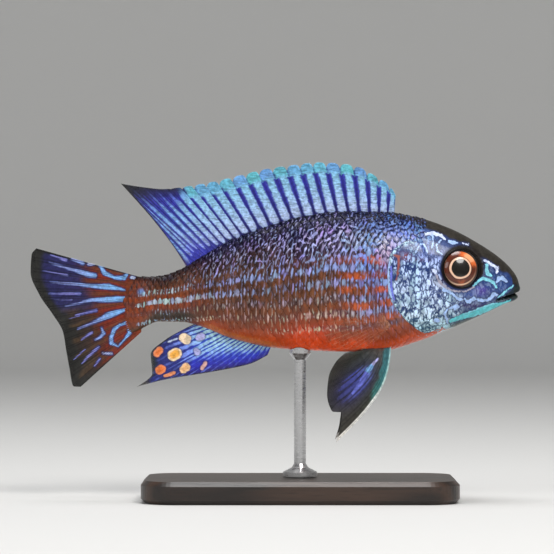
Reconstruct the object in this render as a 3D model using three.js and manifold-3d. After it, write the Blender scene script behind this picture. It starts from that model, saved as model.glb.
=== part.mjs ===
// An adult male peacock cichlid, life size, hovering on a small display stand.
// Millimetres. +X runs from the tail to the snout, +Y to the fish's left, +Z up.
// The origin is the middle of the stand's underside.
import * as THREE from "three";
import { mergeVertices } from "three/addons/utils/BufferGeometryUtils.js";
import Module from "manifold-3d";

const wasm = await Module();
wasm.setup();

// Driving dimensions
const STANDARD_LENGTH = 102.5; // from the snout to the root of the tail fin
const SNOUT_X = 58.5; // the snout's tip, ahead of the rod
const AXIS_Z = 56; // the level of the mouth above the floor
const GAP = 0.3; // kept between pieces that touch
const TAIL_SWAY = 4; // how far the tail's tip swings to the left
const SWAY_START_X = -6;
const SWAY_LENGTH = 66;

// The body, from the snout back. Heights are above the level of the mouth.
const BODY = [
  { behind: 0, back: 0.8, belly: 0.8, halfWidth: 0 },
  { behind: 0.8, back: 3.8, belly: -1.9, halfWidth: 2.1 },
  { behind: 1.9, back: 5.4, belly: -2.6, halfWidth: 2.9 },
  { behind: 4, back: 7.6, belly: -3.7, halfWidth: 3.9 },
  { behind: 10.4, back: 12.2, belly: -6.8, halfWidth: 5.9 },
  { behind: 19, back: 16.7, belly: -10.5, halfWidth: 7.8 },
  { behind: 27.5, back: 19.5, belly: -13.8, halfWidth: 8.9 },
  { behind: 36, back: 20.8, belly: -16.1, halfWidth: 9.3 },
  { behind: 47, back: 20.9, belly: -16.4, halfWidth: 9 },
  { behind: 57.4, back: 19.7, belly: -16, halfWidth: 8.3 },
  { behind: 66, back: 17.3, belly: -15.3, halfWidth: 7.2 },
  { behind: 76.6, back: 13.3, belly: -12.9, halfWidth: 5.6 },
  { behind: 85.2, back: 8.6, belly: -9.6, halfWidth: 4.3 },
  { behind: 90, back: 5.7, belly: -8.5, halfWidth: 3.6 },
  { behind: 96, back: 3.7, belly: -8.4, halfWidth: 2.7 },
  { behind: STANDARD_LENGTH, back: 3.5, belly: -11.2, halfWidth: 1.15 },
];
const WIDEST = 0.48; // the level of the greatest width, as a share of the depth
const BACK_RIDGE = 1.22; // over 1 draws the back to a ridge
const BELLY_ROUND = 0.92; // under 1 fills the belly out
const CHIN_ROUND = 0.6; // the same under the snout, where the jaws are broad
const CHIN_LENGTH = 26;
const BODY_RINGS = 36;
const RING_POINTS = 26;
const SLIVER = 0.01; // detail finer than this is left out of every solid

// The head's openings and plates
const EYE = { behind: 15.8, above: 5.7, radius: 5.4, depth: 3.1, sunk: 1.75 };
const EYE_FORWARD = 0.19; // how far the eye's axis leans forward, in radians
const EYE_UPWARD = 0.16;
const ORBIT_RIM = { radius: 5.15, thick: 0.42 };
const NOSTRIL = { behind: 6.6, above: 5.4, radius: 0.5, deep: 1.2 };
const MOUTH_FRONT = { behind: -0.4, above: -0.7 };
const MOUTH_CORNER = { behind: 6, above: -2.75 };
const MOUTH_OPEN = 0.45; // the slit between the lips at the front
const UPPER_LIP = { radius: 1, front: 0.6, halfWidth: 4.1, way: 1 };
const LOWER_LIP = { radius: 0.85, front: 1, halfWidth: 3.6, way: -1 };
const LIP_END = 0.4; // a lip's radius at the mouth's corner, as a share of its radius in front
const JAW_LINE = [
  [6, -2.75],
  [10.5, -5],
  [14.5, -7],
  [16.6, -8.4],
  [17.6, -12],
];
const NECK_LINE = [
  [33.9, 24],
  [30.6, 8],
  [26.4, -8],
  [21.8, -20],
];
const GILL_COVER = [
  [26.8, 12.9],
  [31.2, 12.6],
  [34.7, 9.6],
  [35.5, 3.8],
  [34.9, -2],
  [32.4, -5.8],
  [29.3, -9],
  [25.4, -11.4],
  [21.2, -9.8],
  [18, -7],
  [21.4, -3.6],
  [24, 1.2],
  [24.4, 7.6],
];
const GILL_COVER_RAISED = 0.35;
const GILL_COVER_THICK = 1.4;
const TAIL_CUT = 87.2; // where the trunk ends and the tail stalk starts

// Fins: the root and the edge, from the first ray to the last, as [behind the snout, height]
const MEMBRANE = { root: 0.5, edge: 0.36 }; // full thickness
const RAY = { root: 1, edge: 0.62 };
const ROOT_SINK = 0.9; // how deep a fin's foot starts inside the body before it is cut clear
const DORSAL_ROOT = [
  [0, 33.4],
  [0.09, 38.8],
  [0.24, 50.2],
  [0.38, 61.3],
  [0.5, 70.3],
  [0.62, 76.8],
  [0.8, 83.6],
  [1, 88.4],
];
const DORSAL_SPINES = 16;
const DORSAL_RAYS = 11;
const DORSAL_EDGE = [
  [0, 33, 24.4],
  [0.03, 34.6, 26.8],
  [0.087, 39.1, 29.8],
  [0.124, 42.4, 31.6],
  [0.161, 46.1, 32.5],
  [0.235, 53.4, 33],
  [0.309, 60.3, 32.3],
  [0.383, 67.7, 31.2],
  [0.457, 74.8, 29.5],
  [0.531, 81.9, 27.8],
  [0.6, 88, 27],
  [0.68, 94.6, 27],
  [0.76, 101, 27.6],
  [0.815, 106.4, 28.5],
  [0.86, 103.2, 25],
  [0.92, 97.6, 18.6],
  [0.97, 92.4, 11.8],
  [1, 89.4, 7.2],
];
const SPINY_SHARE = DORSAL_SPINES / (DORSAL_SPINES + DORSAL_RAYS);
const LAPPET = 0.9; // how far each spine's flap stands over the notch beside it
const TAIL_ROOT = { top: 3.4, bottom: -11.2, sunk: 1.6 };
const TAIL_RAYS = 16;
const TAIL_EDGE = [
  [0, 129.2, 11.2],
  [0.04, 130.4, 9.6],
  [0.14, 130.7, 4.8],
  [0.28, 128.4, -1.2],
  [0.42, 124.8, -6.4],
  [0.56, 122, -11.2],
  [0.7, 121.1, -16.2],
  [0.84, 120.2, -21],
  [0.95, 119, -25.8],
  [1, 117.2, -25.9],
];
const ANAL_ROOT = [65.8, 71, 77.6, 85.4];
const ANAL_SPINES = 3;
const ANAL_RAYS = 9;
const ANAL_EDGE = [
  [0, 67.2, -17.4],
  [0.1, 71.6, -19.6],
  [0.25, 79.6, -21.4],
  [0.42, 88.6, -22.9],
  [0.55, 95, -24],
  [0.63, 102.2, -25.9],
  [0.69, 98, -22.4],
  [0.8, 98.4, -17.2],
  [0.9, 94.4, -13.2],
  [1, 88, -9.6],
];
const PELVIC_ROOT = { front: 34.2, rear: 40.2, aside: 2.6, splay: 0.22 };
const PELVIC_RAYS = 6;
const PELVIC_EDGE = [
  [0, 49, -40.2],
  [0.14, 47.9, -36.4],
  [0.3, 47.4, -32.4],
  [0.42, 49.8, -32.2],
  [0.58, 51.2, -28],
  [0.74, 50.8, -23.4],
  [0.88, 48.8, -19.2],
  [1, 46.4, -16.8],
];
const PELVIC_BOW = 4.1; // how far the leading edge bows forward
const PECTORAL_ROOT = { behind: 34.2, top: -5.6, bottom: -9.2, splay: 0.52 };
const PECTORAL_RAYS = 12;
const PECTORAL_EDGE = [
  [0, 13, 0.8],
  [0.15, 18.4, -0.6],
  [0.35, 21.4, -3.4],
  [0.55, 19.6, -6.6],
  [0.75, 15.2, -8.4],
  [0.9, 10.2, -8.4],
  [1, 6.4, -7],
];

// The stand
const BASE = { length: 84, width: 44, thick: 6, corner: 8, bevel: 1.2 };
const ROD_RADIUS = 1.6;
const COLLAR = { radius: 4.6, height: 2.4 };
const SADDLE = { radius: 2.9, height: 2.6 };

const FISH = new THREE.Color(0.32, 0.36, 0.62);
const skin = (hue, roughness = 0.42) =>
  new THREE.MeshStandardMaterial({ color: hue, roughness, metalness: 0 });
const MATERIALS = {
  head: skin(new THREE.Color(0.25, 0.36, 0.66)),
  flank: skin(new THREE.Color(0.48, 0.26, 0.2)),
  fin: skin(FISH, 0.5),
  clearFin: skin(new THREE.Color(0.45, 0.42, 0.38), 0.4),
  eye: skin(new THREE.Color(0.72, 0.36, 0.18), 0.12),
  wood: skin(new THREE.Color(0.12, 0.07, 0.05), 0.45),
  steel: new THREE.MeshStandardMaterial({ color: 0xb4b6b8, roughness: 0.3, metalness: 1 }),
};

// A smooth curve through points whose first column rises, that never overshoots them
function smooth(xs, ys) {
  const steps = xs.slice(1).map((x, i) => x - xs[i]);
  const rises = steps.map((h, i) => (ys[i + 1] - ys[i]) / h);
  const slopes = xs.map((_, i) => {
    if (i === 0 || i === xs.length - 1) return rises[Math.min(i, rises.length - 1)];
    const [a, b] = [rises[i - 1], rises[i]];
    if (a * b <= 0) return 0;
    const [wa, wb] = [2 * steps[i] + steps[i - 1], steps[i] + 2 * steps[i - 1]];
    return (wa + wb) / (wa / a + wb / b);
  });
  return (x) => {
    const at = Math.min(Math.max(x, xs[0]), xs[xs.length - 1]);
    let i = 0;
    while (i < steps.length - 1 && at > xs[i + 1]) i += 1;
    const [h, t] = [steps[i], (at - xs[i]) / steps[i]];
    const [t2, t3] = [t * t, t * t * t];
    return (
      ys[i] * (2 * t3 - 3 * t2 + 1) +
      ys[i + 1] * (3 * t2 - 2 * t3) +
      slopes[i] * h * (t3 - 2 * t2 + t) +
      slopes[i + 1] * h * (t3 - t2)
    );
  };
}

// Profiles run against the root of the distance, which gives the snout a round tip
const roots = BODY.map((s) => Math.sqrt(s.behind));
const profile = (name) => {
  const curve = smooth(roots, BODY.map((s) => s[name]));
  return (behind) => curve(Math.sqrt(Math.max(behind, 0)));
};
const backAt = profile("back");
const bellyAt = profile("belly");
const halfWidthAt = profile("halfWidth");

const clamp = THREE.MathUtils.clamp;
const mix = THREE.MathUtils.lerp;

// How far the lower half of a section is filled out
function lowerRound(behind) {
  return mix(CHIN_ROUND, BELLY_ROUND, THREE.MathUtils.smoothstep(behind, 0, CHIN_LENGTH));
}

// A point of the skin: turn runs from 0 at the back to PI at the belly, down one flank
function skinPoint(behind, turn, side, grown = 0) {
  const back = backAt(behind) + grown;
  const belly = bellyAt(behind) - grown;
  const widest = mix(belly, back, WIDEST);
  const up = Math.cos(turn);
  const reach = up >= 0 ? back - widest : widest - belly;
  const power = up >= 0 ? BACK_RIDGE : lowerRound(behind);
  const out = (halfWidthAt(behind) + grown) * Math.sin(turn) ** power;
  return new THREE.Vector3(SNOUT_X - behind, side * out, AXIS_Z + widest + reach * up);
}

// How far the skin stands from the middle plane at a height
function skinReach(behind, above) {
  const [back, belly] = [backAt(behind), bellyAt(behind)];
  const widest = mix(belly, back, WIDEST);
  const reach = above >= widest ? back - widest : widest - belly;
  const power = above >= widest ? BACK_RIDGE : lowerRound(behind);
  const up = clamp((above - widest) / reach, -1, 1);
  return halfWidthAt(behind) * Math.sqrt(1 - up * up) ** power;
}

// A closed solid of manifold-3d from vertices and triangles
function solidFrom(vertices, triangles) {
  const vertProperties = new Float32Array(vertices.flatMap((v) => [v.x, v.y, v.z]));
  const triVerts = new Uint32Array(triangles.flat());
  return new wasm.Manifold(new wasm.Mesh({ numProp: 3, vertProperties, triVerts }));
}

function solidOf(geometry) {
  const plain = geometry.clone();
  plain.deleteAttribute("normal");
  plain.deleteAttribute("uv");
  const merged = mergeVertices(plain, 1e-4);
  const vertProperties = new Float32Array(merged.attributes.position.array);
  const triVerts = new Uint32Array(merged.index.array);
  return new wasm.Manifold(new wasm.Mesh({ numProp: 3, vertProperties, triVerts }));
}

// The whole body as one closed loft, grown or shrunk by a distance all over
function bodySolid(grown = 0) {
  const start = grown < 0 ? -2 * grown : 0;
  const noseX = SNOUT_X - start + Math.max(grown, 0);
  const vertices = [new THREE.Vector3(noseX, 0, AXIS_Z + backAt(0))];
  const firstBehind = start + 0.12;
  const end = STANDARD_LENGTH + grown;
  for (let r = 0; r < BODY_RINGS; r += 1) {
    const share = r / (BODY_RINGS - 1);
    const behind = mix(firstBehind, end, share ** 1.45);
    for (let p = 0; p < RING_POINTS; p += 1) {
      const round = (2 * Math.PI * p) / RING_POINTS;
      const side = round <= Math.PI ? 1 : -1;
      const turn = side > 0 ? round : 2 * Math.PI - round;
      vertices.push(skinPoint(behind, turn, side, grown));
    }
  }
  const middle = mix(bellyAt(end), backAt(end), 0.5);
  vertices.push(new THREE.Vector3(SNOUT_X - end, 0, AXIS_Z + middle));
  const last = vertices.length - 1;
  const at = (r, p) => 1 + r * RING_POINTS + (p % RING_POINTS);
  const triangles = [];
  for (let p = 0; p < RING_POINTS; p += 1) {
    triangles.push([0, at(0, p + 1), at(0, p)]);
    triangles.push([last, at(BODY_RINGS - 1, p), at(BODY_RINGS - 1, p + 1)]);
    for (let r = 0; r < BODY_RINGS - 1; r += 1) {
      triangles.push([at(r, p), at(r, p + 1), at(r + 1, p)]);
      triangles.push([at(r, p + 1), at(r + 1, p + 1), at(r + 1, p)]);
    }
  }
  return solidFrom(vertices, triangles);
}

// A side-view outline, as [behind, height] pairs, made a slab across the whole width
function slab(outline, from = -30, to = 30) {
  const shape = new THREE.Shape(
    outline.map(([behind, above]) => new THREE.Vector2(SNOUT_X - behind, AXIS_Z + above)),
  );
  const geometry = new THREE.ExtrudeGeometry(shape, {
    depth: to - from,
    bevelEnabled: false,
    curveSegments: 1,
  });
  // The shape's plane is turned from XY to XZ, and its depth from +Z to -Y
  geometry.rotateX(Math.PI / 2);
  geometry.translate(0, to, 0);
  return solidOf(geometry);
}

// A line or a closed outline moved sideways by a distance, to the left of its course
function shifted(points, distance, closed = false) {
  const count = points.length;
  return points.map(([x, z], i) => {
    const before = closed ? points[(i + count - 1) % count] : points[Math.max(i - 1, 0)];
    const after = closed ? points[(i + 1) % count] : points[Math.min(i + 1, count - 1)];
    const [dx, dz] = [after[0] - before[0], after[1] - before[1]];
    const size = Math.hypot(dx, dz);
    return [x - (dz / size) * distance, z + (dx / size) * distance];
  });
}

// A closed outline rounded with a spline, so that a few points are enough
function rounded(points, steps) {
  const curve = new THREE.CatmullRomCurve3(
    points.map(([x, z]) => new THREE.Vector3(x, z, 0)),
    true,
    "centripetal",
  );
  return curve.getPoints(steps).slice(0, -1).map((p) => [p.x, p.y]);
}

// Only the largest closed surface of a solid, with any hollow in it filled
function largest(solid) {
  const parts = solid.decompose();
  return parts.reduce((best, part) => (part.volume() > best.volume() ? part : best));
}

function union(solids) {
  return solids.reduce((all, next) => all.add(next));
}

// A ball squashed along its own axis, then turned to look along a direction
function lens(centre, direction, radius, depth, sections = 18) {
  const geometry = new THREE.SphereGeometry(radius, sections, sections / 2);
  geometry.scale(1, depth / radius, 1);
  const turn = new THREE.Quaternion().setFromUnitVectors(new THREE.Vector3(0, 1, 0), direction);
  geometry.applyQuaternion(turn);
  geometry.translate(centre.x, centre.y, centre.z);
  return solidOf(geometry);
}

function eyeAxis(side) {
  return new THREE.Vector3(
    Math.sin(EYE_FORWARD),
    side * Math.cos(EYE_FORWARD),
    Math.tan(EYE_UPWARD),
  ).normalize();
}

function eyeSurface(side) {
  const out = skinReach(EYE.behind, EYE.above);
  return new THREE.Vector3(SNOUT_X - EYE.behind, side * out, AXIS_Z + EYE.above);
}

function eyeball(side, grown = 0) {
  const centre = eyeSurface(side).addScaledVector(eyeAxis(side), -EYE.sunk);
  return lens(centre, eyeAxis(side), EYE.radius + grown, EYE.depth + grown);
}

// The raised rim of skin round an eye
function orbitRim(side) {
  const geometry = new THREE.TorusGeometry(ORBIT_RIM.radius, ORBIT_RIM.thick, 6, 24);
  const ahead = new THREE.Vector3(0, 0, 1);
  geometry.applyQuaternion(new THREE.Quaternion().setFromUnitVectors(ahead, eyeAxis(side)));
  const centre = eyeSurface(side).addScaledVector(eyeAxis(side), -0.3);
  geometry.translate(centre.x, centre.y, centre.z);
  return solidOf(geometry);
}

function nostril(side) {
  const out = skinReach(NOSTRIL.behind, NOSTRIL.above);
  const deep = NOSTRIL.deep;
  const geometry = new THREE.CylinderGeometry(NOSTRIL.radius, NOSTRIL.radius * 0.6, 2 * deep, 8);
  if (side < 0) geometry.rotateZ(Math.PI);
  geometry.translate(SNOUT_X - NOSTRIL.behind, side * out, AXIS_Z + NOSTRIL.above);
  return solidOf(geometry);
}

// A lip: a tapered roll bent to a horseshoe round the snout, above or below the mouth's line
function lip({ radius, front, halfWidth, way }) {
  const [rings, sides] = [17, 8];
  const centres = [];
  for (let r = 0; r < rings; r += 1) {
    const sweep = mix(-Math.PI / 2, Math.PI / 2, r / (rings - 1));
    const behind = mix(MOUTH_CORNER.behind, front, Math.cos(sweep));
    const share = behind / MOUTH_CORNER.behind;
    const thick = radius * mix(1, LIP_END, share ** 2);
    const line = mix(MOUTH_FRONT.above, MOUTH_CORNER.above, share);
    const above = line + way * (thick * 0.9 + MOUTH_OPEN / 2);
    const out = halfWidth * Math.sin(sweep);
    centres.push({ at: new THREE.Vector3(SNOUT_X - behind, out, AXIS_Z + above), thick });
  }
  const vertices = [];
  centres.forEach(({ at, thick }, r) => {
    const before = centres[Math.max(r - 1, 0)].at;
    const after = centres[Math.min(r + 1, rings - 1)].at;
    const along = after.clone().sub(before).normalize();
    const aside = new THREE.Vector3(along.y, -along.x, 0).normalize();
    const upright = aside.clone().cross(along).normalize();
    for (let s = 0; s < sides; s += 1) {
      const turn = (2 * Math.PI * s) / sides;
      const point = at.clone().addScaledVector(aside, thick * Math.cos(turn));
      vertices.push(point.addScaledVector(upright, thick * Math.sin(turn)));
    }
  });
  vertices.push(centres[0].at, centres[rings - 1].at);
  const [startPole, endPole] = [vertices.length - 2, vertices.length - 1];
  const at = (r, s) => r * sides + (s % sides);
  const triangles = [];
  for (let s = 0; s < sides; s += 1) {
    triangles.push([startPole, at(0, s), at(0, s + 1)]);
    triangles.push([endPole, at(rings - 1, s + 1), at(rings - 1, s)]);
    for (let r = 0; r < rings - 1; r += 1) {
      triangles.push([at(r, s), at(r + 1, s), at(r, s + 1)]);
      triangles.push([at(r, s + 1), at(r + 1, s), at(r + 1, s + 1)]);
    }
  }
  const made = solidFrom(vertices, triangles);
  return made.volume() > 0 ? made : solidFrom(vertices, triangles.map(([a, b, c]) => [a, c, b]));
}

// The side-view wedge between the lips, open ahead of the snout
function mouthSlit() {
  const half = MOUTH_OPEN / 2;
  const [front, corner] = [MOUTH_FRONT, MOUTH_CORNER];
  return slab([
    [front.behind - 4, front.above + half + 0.2],
    [front.behind - 4, front.above - half - 0.2],
    [front.behind, front.above - half],
    [corner.behind, corner.above - half / 2],
    [corner.behind + 0.4, corner.above],
    [corner.behind, corner.above + half / 2],
    [front.behind, front.above + half],
  ]);
}

// Everything under the jaw's line, moved down or up by a distance
function jawRegion(down) {
  const lead = [MOUTH_FRONT.behind - 4, MOUTH_FRONT.above + 1.3];
  const line = shifted([lead, ...JAW_LINE], -down);
  return slab([...line, [line[line.length - 1][0], -24], [line[0][0], -24]]);
}

// Everything ahead of the slanting line that runs from the nape to the throat
function headRegion(back) {
  const line = NECK_LINE.map(([behind, above]) => [behind + back, above]);
  return slab([[-20, 24], ...line, [-20, -20]]);
}

// A fin as one sheet: columns follow the rays, rows run from the root to the edge.
// place(column, row share, side) gives a point, thickness(column, row share) the full thickness.
function sheet(columns, rows, place, thickness, normal) {
  const vertices = [];
  for (const face of [1, -1]) {
    for (const column of columns) {
      for (let r = 0; r <= rows; r += 1) {
        const share = r / rows;
        const half = (face * thickness(column, share)) / 2;
        vertices.push(place(column, share).addScaledVector(normal(column, share), half));
      }
    }
  }
  const [count, stride] = [columns.length, rows + 1];
  const at = (face, c, r) => face * count * stride + c * stride + r;
  const triangles = [];
  for (let c = 0; c < count - 1; c += 1) {
    for (let r = 0; r < rows; r += 1) {
      const [a, b, d, e] = [at(0, c, r), at(0, c + 1, r), at(0, c + 1, r + 1), at(0, c, r + 1)];
      triangles.push([a, b, d], [a, d, e]);
      const [f, g, h, i] = [at(1, c, r), at(1, c + 1, r), at(1, c + 1, r + 1), at(1, c, r + 1)];
      triangles.push([f, h, g], [f, i, h]);
    }
    triangles.push([at(0, c, 0), at(1, c, 0), at(1, c + 1, 0)]);
    triangles.push([at(0, c, 0), at(1, c + 1, 0), at(0, c + 1, 0)]);
    triangles.push([at(0, c, rows), at(1, c + 1, rows), at(1, c, rows)]);
    triangles.push([at(0, c, rows), at(0, c + 1, rows), at(1, c + 1, rows)]);
  }
  const end = count - 1;
  for (let r = 0; r < rows; r += 1) {
    triangles.push([at(0, 0, r), at(1, 0, r + 1), at(1, 0, r)]);
    triangles.push([at(0, 0, r), at(0, 0, r + 1), at(1, 0, r + 1)]);
    triangles.push([at(0, end, r), at(1, end, r), at(1, end, r + 1)]);
    triangles.push([at(0, end, r), at(1, end, r + 1), at(0, end, r + 1)]);
  }
  const made = solidFrom(vertices, triangles);
  return made.volume() > 0 ? made : solidFrom(vertices, triangles.map(([a, b, c]) => [a, c, b]));
}

// The columns of a fin: the crest of each ray, its two feet, and what lies between
function rayColumns(rays, between) {
  const columns = [{ at: 0, crest: true }];
  for (let ray = 0; ray < rays; ray += 1) {
    for (const share of between) columns.push({ at: (ray + share) / rays, crest: false, share });
    columns.push({ at: (ray + 1) / rays, crest: true });
  }
  return columns;
}

const finThickness = (column, share) => {
  const { root, edge } = column.crest ? RAY : MEMBRANE;
  return mix(root, edge, share ** 1.5);
};

function edgeCurve(points) {
  const xs = points.map((p) => p[0]);
  const behind = smooth(xs, points.map((p) => p[1]));
  const above = smooth(xs, points.map((p) => p[2]));
  return (at) => [behind(at), above(at)];
}

const ASIDE = new THREE.Vector3(0, 1, 0);

// A fin in the middle plane. root and edge give [behind, height], bow curves the rays.
function medianFin(columns, rows, root, edge, bow = 0) {
  const place = (column, share) => {
    const [fromBehind, fromAbove] = root(column.at);
    const [toBehind, toAbove] = edge(column.at, column);
    const curve = bow * Math.sin(Math.PI * share);
    const x = SNOUT_X - mix(fromBehind, toBehind, share) + curve;
    return new THREE.Vector3(x, 0, AXIS_Z + mix(fromAbove, toAbove, share));
  };
  return sheet(columns, rows, place, finThickness, () => ASIDE);
}

const dorsalRootBehind = smooth(
  DORSAL_ROOT.map(([at]) => at),
  DORSAL_ROOT.map(([, behind]) => behind),
);
const dorsalEdge = edgeCurve(DORSAL_EDGE);

function dorsalRoot(at) {
  const behind = dorsalRootBehind(at);
  return [behind, backAt(behind) - ROOT_SINK];
}

// A spine's flap is highest just behind the spine and falls to a notch before the next
const lappetLift = (share) => (share < 0.7 ? LAPPET * Math.sin((Math.PI * share) / 0.7) : -0.25);

function dorsalSpines() {
  const columns = rayColumns(DORSAL_SPINES, [0.22, 0.5, 0.82]).map((column) => ({
    ...column,
    at: column.at * SPINY_SHARE,
  }));
  const edge = (at, column) => {
    const [behind, above] = dorsalEdge(at);
    return [behind, above + (column.crest ? 0 : lappetLift(column.share))];
  };
  return medianFin(columns, 4, dorsalRoot, edge);
}

function dorsalRays() {
  const start = SPINY_SHARE + 0.004;
  const columns = rayColumns(DORSAL_RAYS, [0.3, 0.7]).map((column) => ({
    ...column,
    at: mix(start, 1, column.at),
  }));
  return medianFin(columns, 5, dorsalRoot, dorsalEdge);
}

function tailFin() {
  const edge = edgeCurve(TAIL_EDGE);
  const root = (at) => [STANDARD_LENGTH - TAIL_ROOT.sunk, mix(TAIL_ROOT.top, TAIL_ROOT.bottom, at)];
  return medianFin(rayColumns(TAIL_RAYS, [0.3, 0.7]), 5, root, edge);
}

function analFin() {
  const behindAt = smooth([0, 0.33, 0.67, 1], ANAL_ROOT);
  const edge = edgeCurve(ANAL_EDGE);
  const root = (at) => [behindAt(at), bellyAt(behindAt(at)) + ROOT_SINK];
  return medianFin(rayColumns(ANAL_SPINES + ANAL_RAYS, [0.3, 0.7]), 5, root, edge);
}

// A pelvic fin hangs from the belly and leans outwards
function pelvicFin(side) {
  const edge = edgeCurve(PELVIC_EDGE);
  const { front, rear, aside, splay } = PELVIC_ROOT;
  const place = (column, share) => {
    const fromBehind = mix(front, rear, column.at);
    const fromAbove = bellyAt(fromBehind) + ROOT_SINK + 0.5;
    const [toBehind, toAbove] = edge(column.at);
    const bow = PELVIC_BOW * Math.sin(Math.PI * share) * (1 - 0.75 * column.at);
    const above = mix(fromAbove, toAbove, share);
    const out = aside + (fromAbove - above) * Math.tan(splay);
    const x = SNOUT_X - mix(fromBehind, toBehind, share) + bow;
    return new THREE.Vector3(x, side * out, AXIS_Z + above);
  };
  const outward = new THREE.Vector3(0, side * Math.cos(splay), Math.sin(splay));
  return sheet(rayColumns(PELVIC_RAYS, [0.25, 0.75]), 6, place, finThickness, () => outward);
}

// A pectoral fin stands out from the flank behind the gill cover
function pectoralFin(side) {
  const edge = edgeCurve(PECTORAL_EDGE);
  const { behind, top, bottom, splay } = PECTORAL_ROOT;
  const middle = mix(top, bottom, 0.5);
  const rootOut = skinReach(behind, middle);
  const away = new THREE.Vector3(-Math.cos(splay), side * Math.sin(splay), 0);
  const outward = new THREE.Vector3(Math.sin(splay), side * Math.cos(splay), 0);
  const place = (column, share) => {
    const [reach, drop] = edge(column.at);
    const above = mix(mix(top, bottom, column.at), middle + drop, share);
    const start = new THREE.Vector3(SNOUT_X - behind, side * (rootOut - 0.9), AXIS_Z + above);
    const cup = 0.8 * Math.sin(Math.PI * column.at) * share;
    return start.addScaledVector(away, reach * share).addScaledVector(outward, cup);
  };
  return sheet(rayColumns(PECTORAL_RAYS, [0.3, 0.7]), 4, place, finThickness, () => outward);
}

// The stand's base is a slab with round corners and a bevelled rim
function standBase() {
  const { length, width, thick, corner, bevel } = BASE;
  const [halfLength, halfWidth] = [length / 2 - bevel, width / 2 - bevel];
  const shape = new THREE.Shape();
  shape.absarc(halfLength - corner, halfWidth - corner, corner, 0, Math.PI / 2);
  shape.absarc(corner - halfLength, halfWidth - corner, corner, Math.PI / 2, Math.PI);
  shape.absarc(corner - halfLength, corner - halfWidth, corner, Math.PI, 1.5 * Math.PI);
  shape.absarc(halfLength - corner, corner - halfWidth, corner, 1.5 * Math.PI, 2 * Math.PI);
  shape.closePath();
  const geometry = new THREE.ExtrudeGeometry(shape, {
    depth: thick - 2 * bevel,
    bevelEnabled: true,
    bevelThickness: bevel,
    bevelSize: bevel,
    bevelSegments: 1,
    curveSegments: 6,
  });
  geometry.translate(0, 0, bevel);
  return solidOf(geometry);
}

// The rod stands on a collar and ends in a saddle that takes the belly's shape
function standRod(clearBody) {
  const foot = BASE.thick + GAP;
  const bellyZ = AXIS_Z + bellyAt(SNOUT_X);
  const profilePoints = [
    [0, foot],
    [COLLAR.radius, foot],
    [COLLAR.radius, foot + COLLAR.height * 0.5],
    [ROD_RADIUS + 0.6, foot + COLLAR.height],
    [ROD_RADIUS, foot + COLLAR.height + 1],
    [ROD_RADIUS, bellyZ - SADDLE.height],
    [SADDLE.radius, bellyZ - SADDLE.height * 0.35],
    [SADDLE.radius, bellyZ + 2],
    [0, bellyZ + 2],
  ];
  const profile2 = profilePoints.map(([r, z]) => new THREE.Vector2(r, z));
  const geometry = new THREE.LatheGeometry(profile2, 16);
  geometry.rotateX(Math.PI / 2);
  return solidOf(geometry).subtract(clearBody);
}

// The tail swings gently aside, and everything behind the rod follows it
function sway(geometry) {
  const position = geometry.attributes.position;
  for (let i = 0; i < position.count; i += 1) {
    const share = clamp((SWAY_START_X - position.getX(i)) / SWAY_LENGTH, 0, 1.2);
    position.setY(i, position.getY(i) + TAIL_SWAY * share * share);
  }
  return geometry;
}

const group = new THREE.Group();
const fish = new THREE.Group();
const stand = new THREE.Group();
group.add(fish, stand);

function addMesh(name, solid, material, parent = fish) {
  const mesh = largest(solid.simplify(SLIVER)).getMesh();
  const stride = mesh.numProp;
  const positions = new Float32Array(mesh.numVert * 3);
  for (let i = 0; i < mesh.numVert; i += 1) {
    positions.set(mesh.vertProperties.subarray(i * stride, i * stride + 3), i * 3);
  }
  const geometry = new THREE.BufferGeometry();
  geometry.setAttribute("position", new THREE.BufferAttribute(positions, 3));
  geometry.setIndex(new THREE.BufferAttribute(new Uint32Array(mesh.triVerts), 1));
  if (parent === fish) sway(geometry);
  geometry.computeVertexNormals();
  const made = new THREE.Mesh(geometry, material);
  made.name = name;
  parent.add(made);
}

const sides = [
  ["left", 1],
  ["right", -1],
];
const body = bodySolid();
const clearBody = bodySolid(GAP);

// The head's side plates, and the shallow beds that they lie in
const coverOutline = rounded(GILL_COVER, 44);
const raised = bodySolid(GILL_COVER_RAISED);
const underCover = bodySolid(GILL_COVER_RAISED - GILL_COVER_THICK);
const underBed = bodySolid(GILL_COVER_RAISED - GILL_COVER_THICK - GAP);
const coverSlab = (side, grown) => {
  const outline = shifted(coverOutline, grown, true);
  return side > 0 ? slab(outline, 2, 20) : slab(outline, -20, -2);
};
const growSign = THREE.ShapeUtils.area(coverOutline.map(([x, z]) => ({ x, y: z }))) > 0 ? -1 : 1;
const beds = sides.map(([, side]) => coverSlab(side, growSign * GAP).subtract(underBed));
const flesh = body.subtract(union(beds));

const skull = flesh.intersect(headRegion(-GAP / 2));
const orbits = union(sides.map(([, side]) => eyeball(side, GAP)));
const pits = union(sides.map(([, side]) => nostril(side)));
const rims = union(sides.map(([, side]) => orbitRim(side)));
const head = union([skull, rims, lip(UPPER_LIP)])
  .subtract(jawRegion(-GAP / 2))
  .subtract(union([orbits, pits, mouthSlit()]));
const lowerJaw = skull.add(lip(LOWER_LIP)).intersect(jawRegion(GAP / 2)).subtract(mouthSlit());
addMesh("head", head, MATERIALS.head);
addMesh("lower_jaw", lowerJaw, MATERIALS.head);

for (const [name, side] of sides) {
  const plate = raised.intersect(coverSlab(side, 0)).subtract(underCover);
  addMesh(`gill_cover_${name}`, plate, MATERIALS.head);
  addMesh(`eye_${name}`, eyeball(side), MATERIALS.eye);
}

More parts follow.
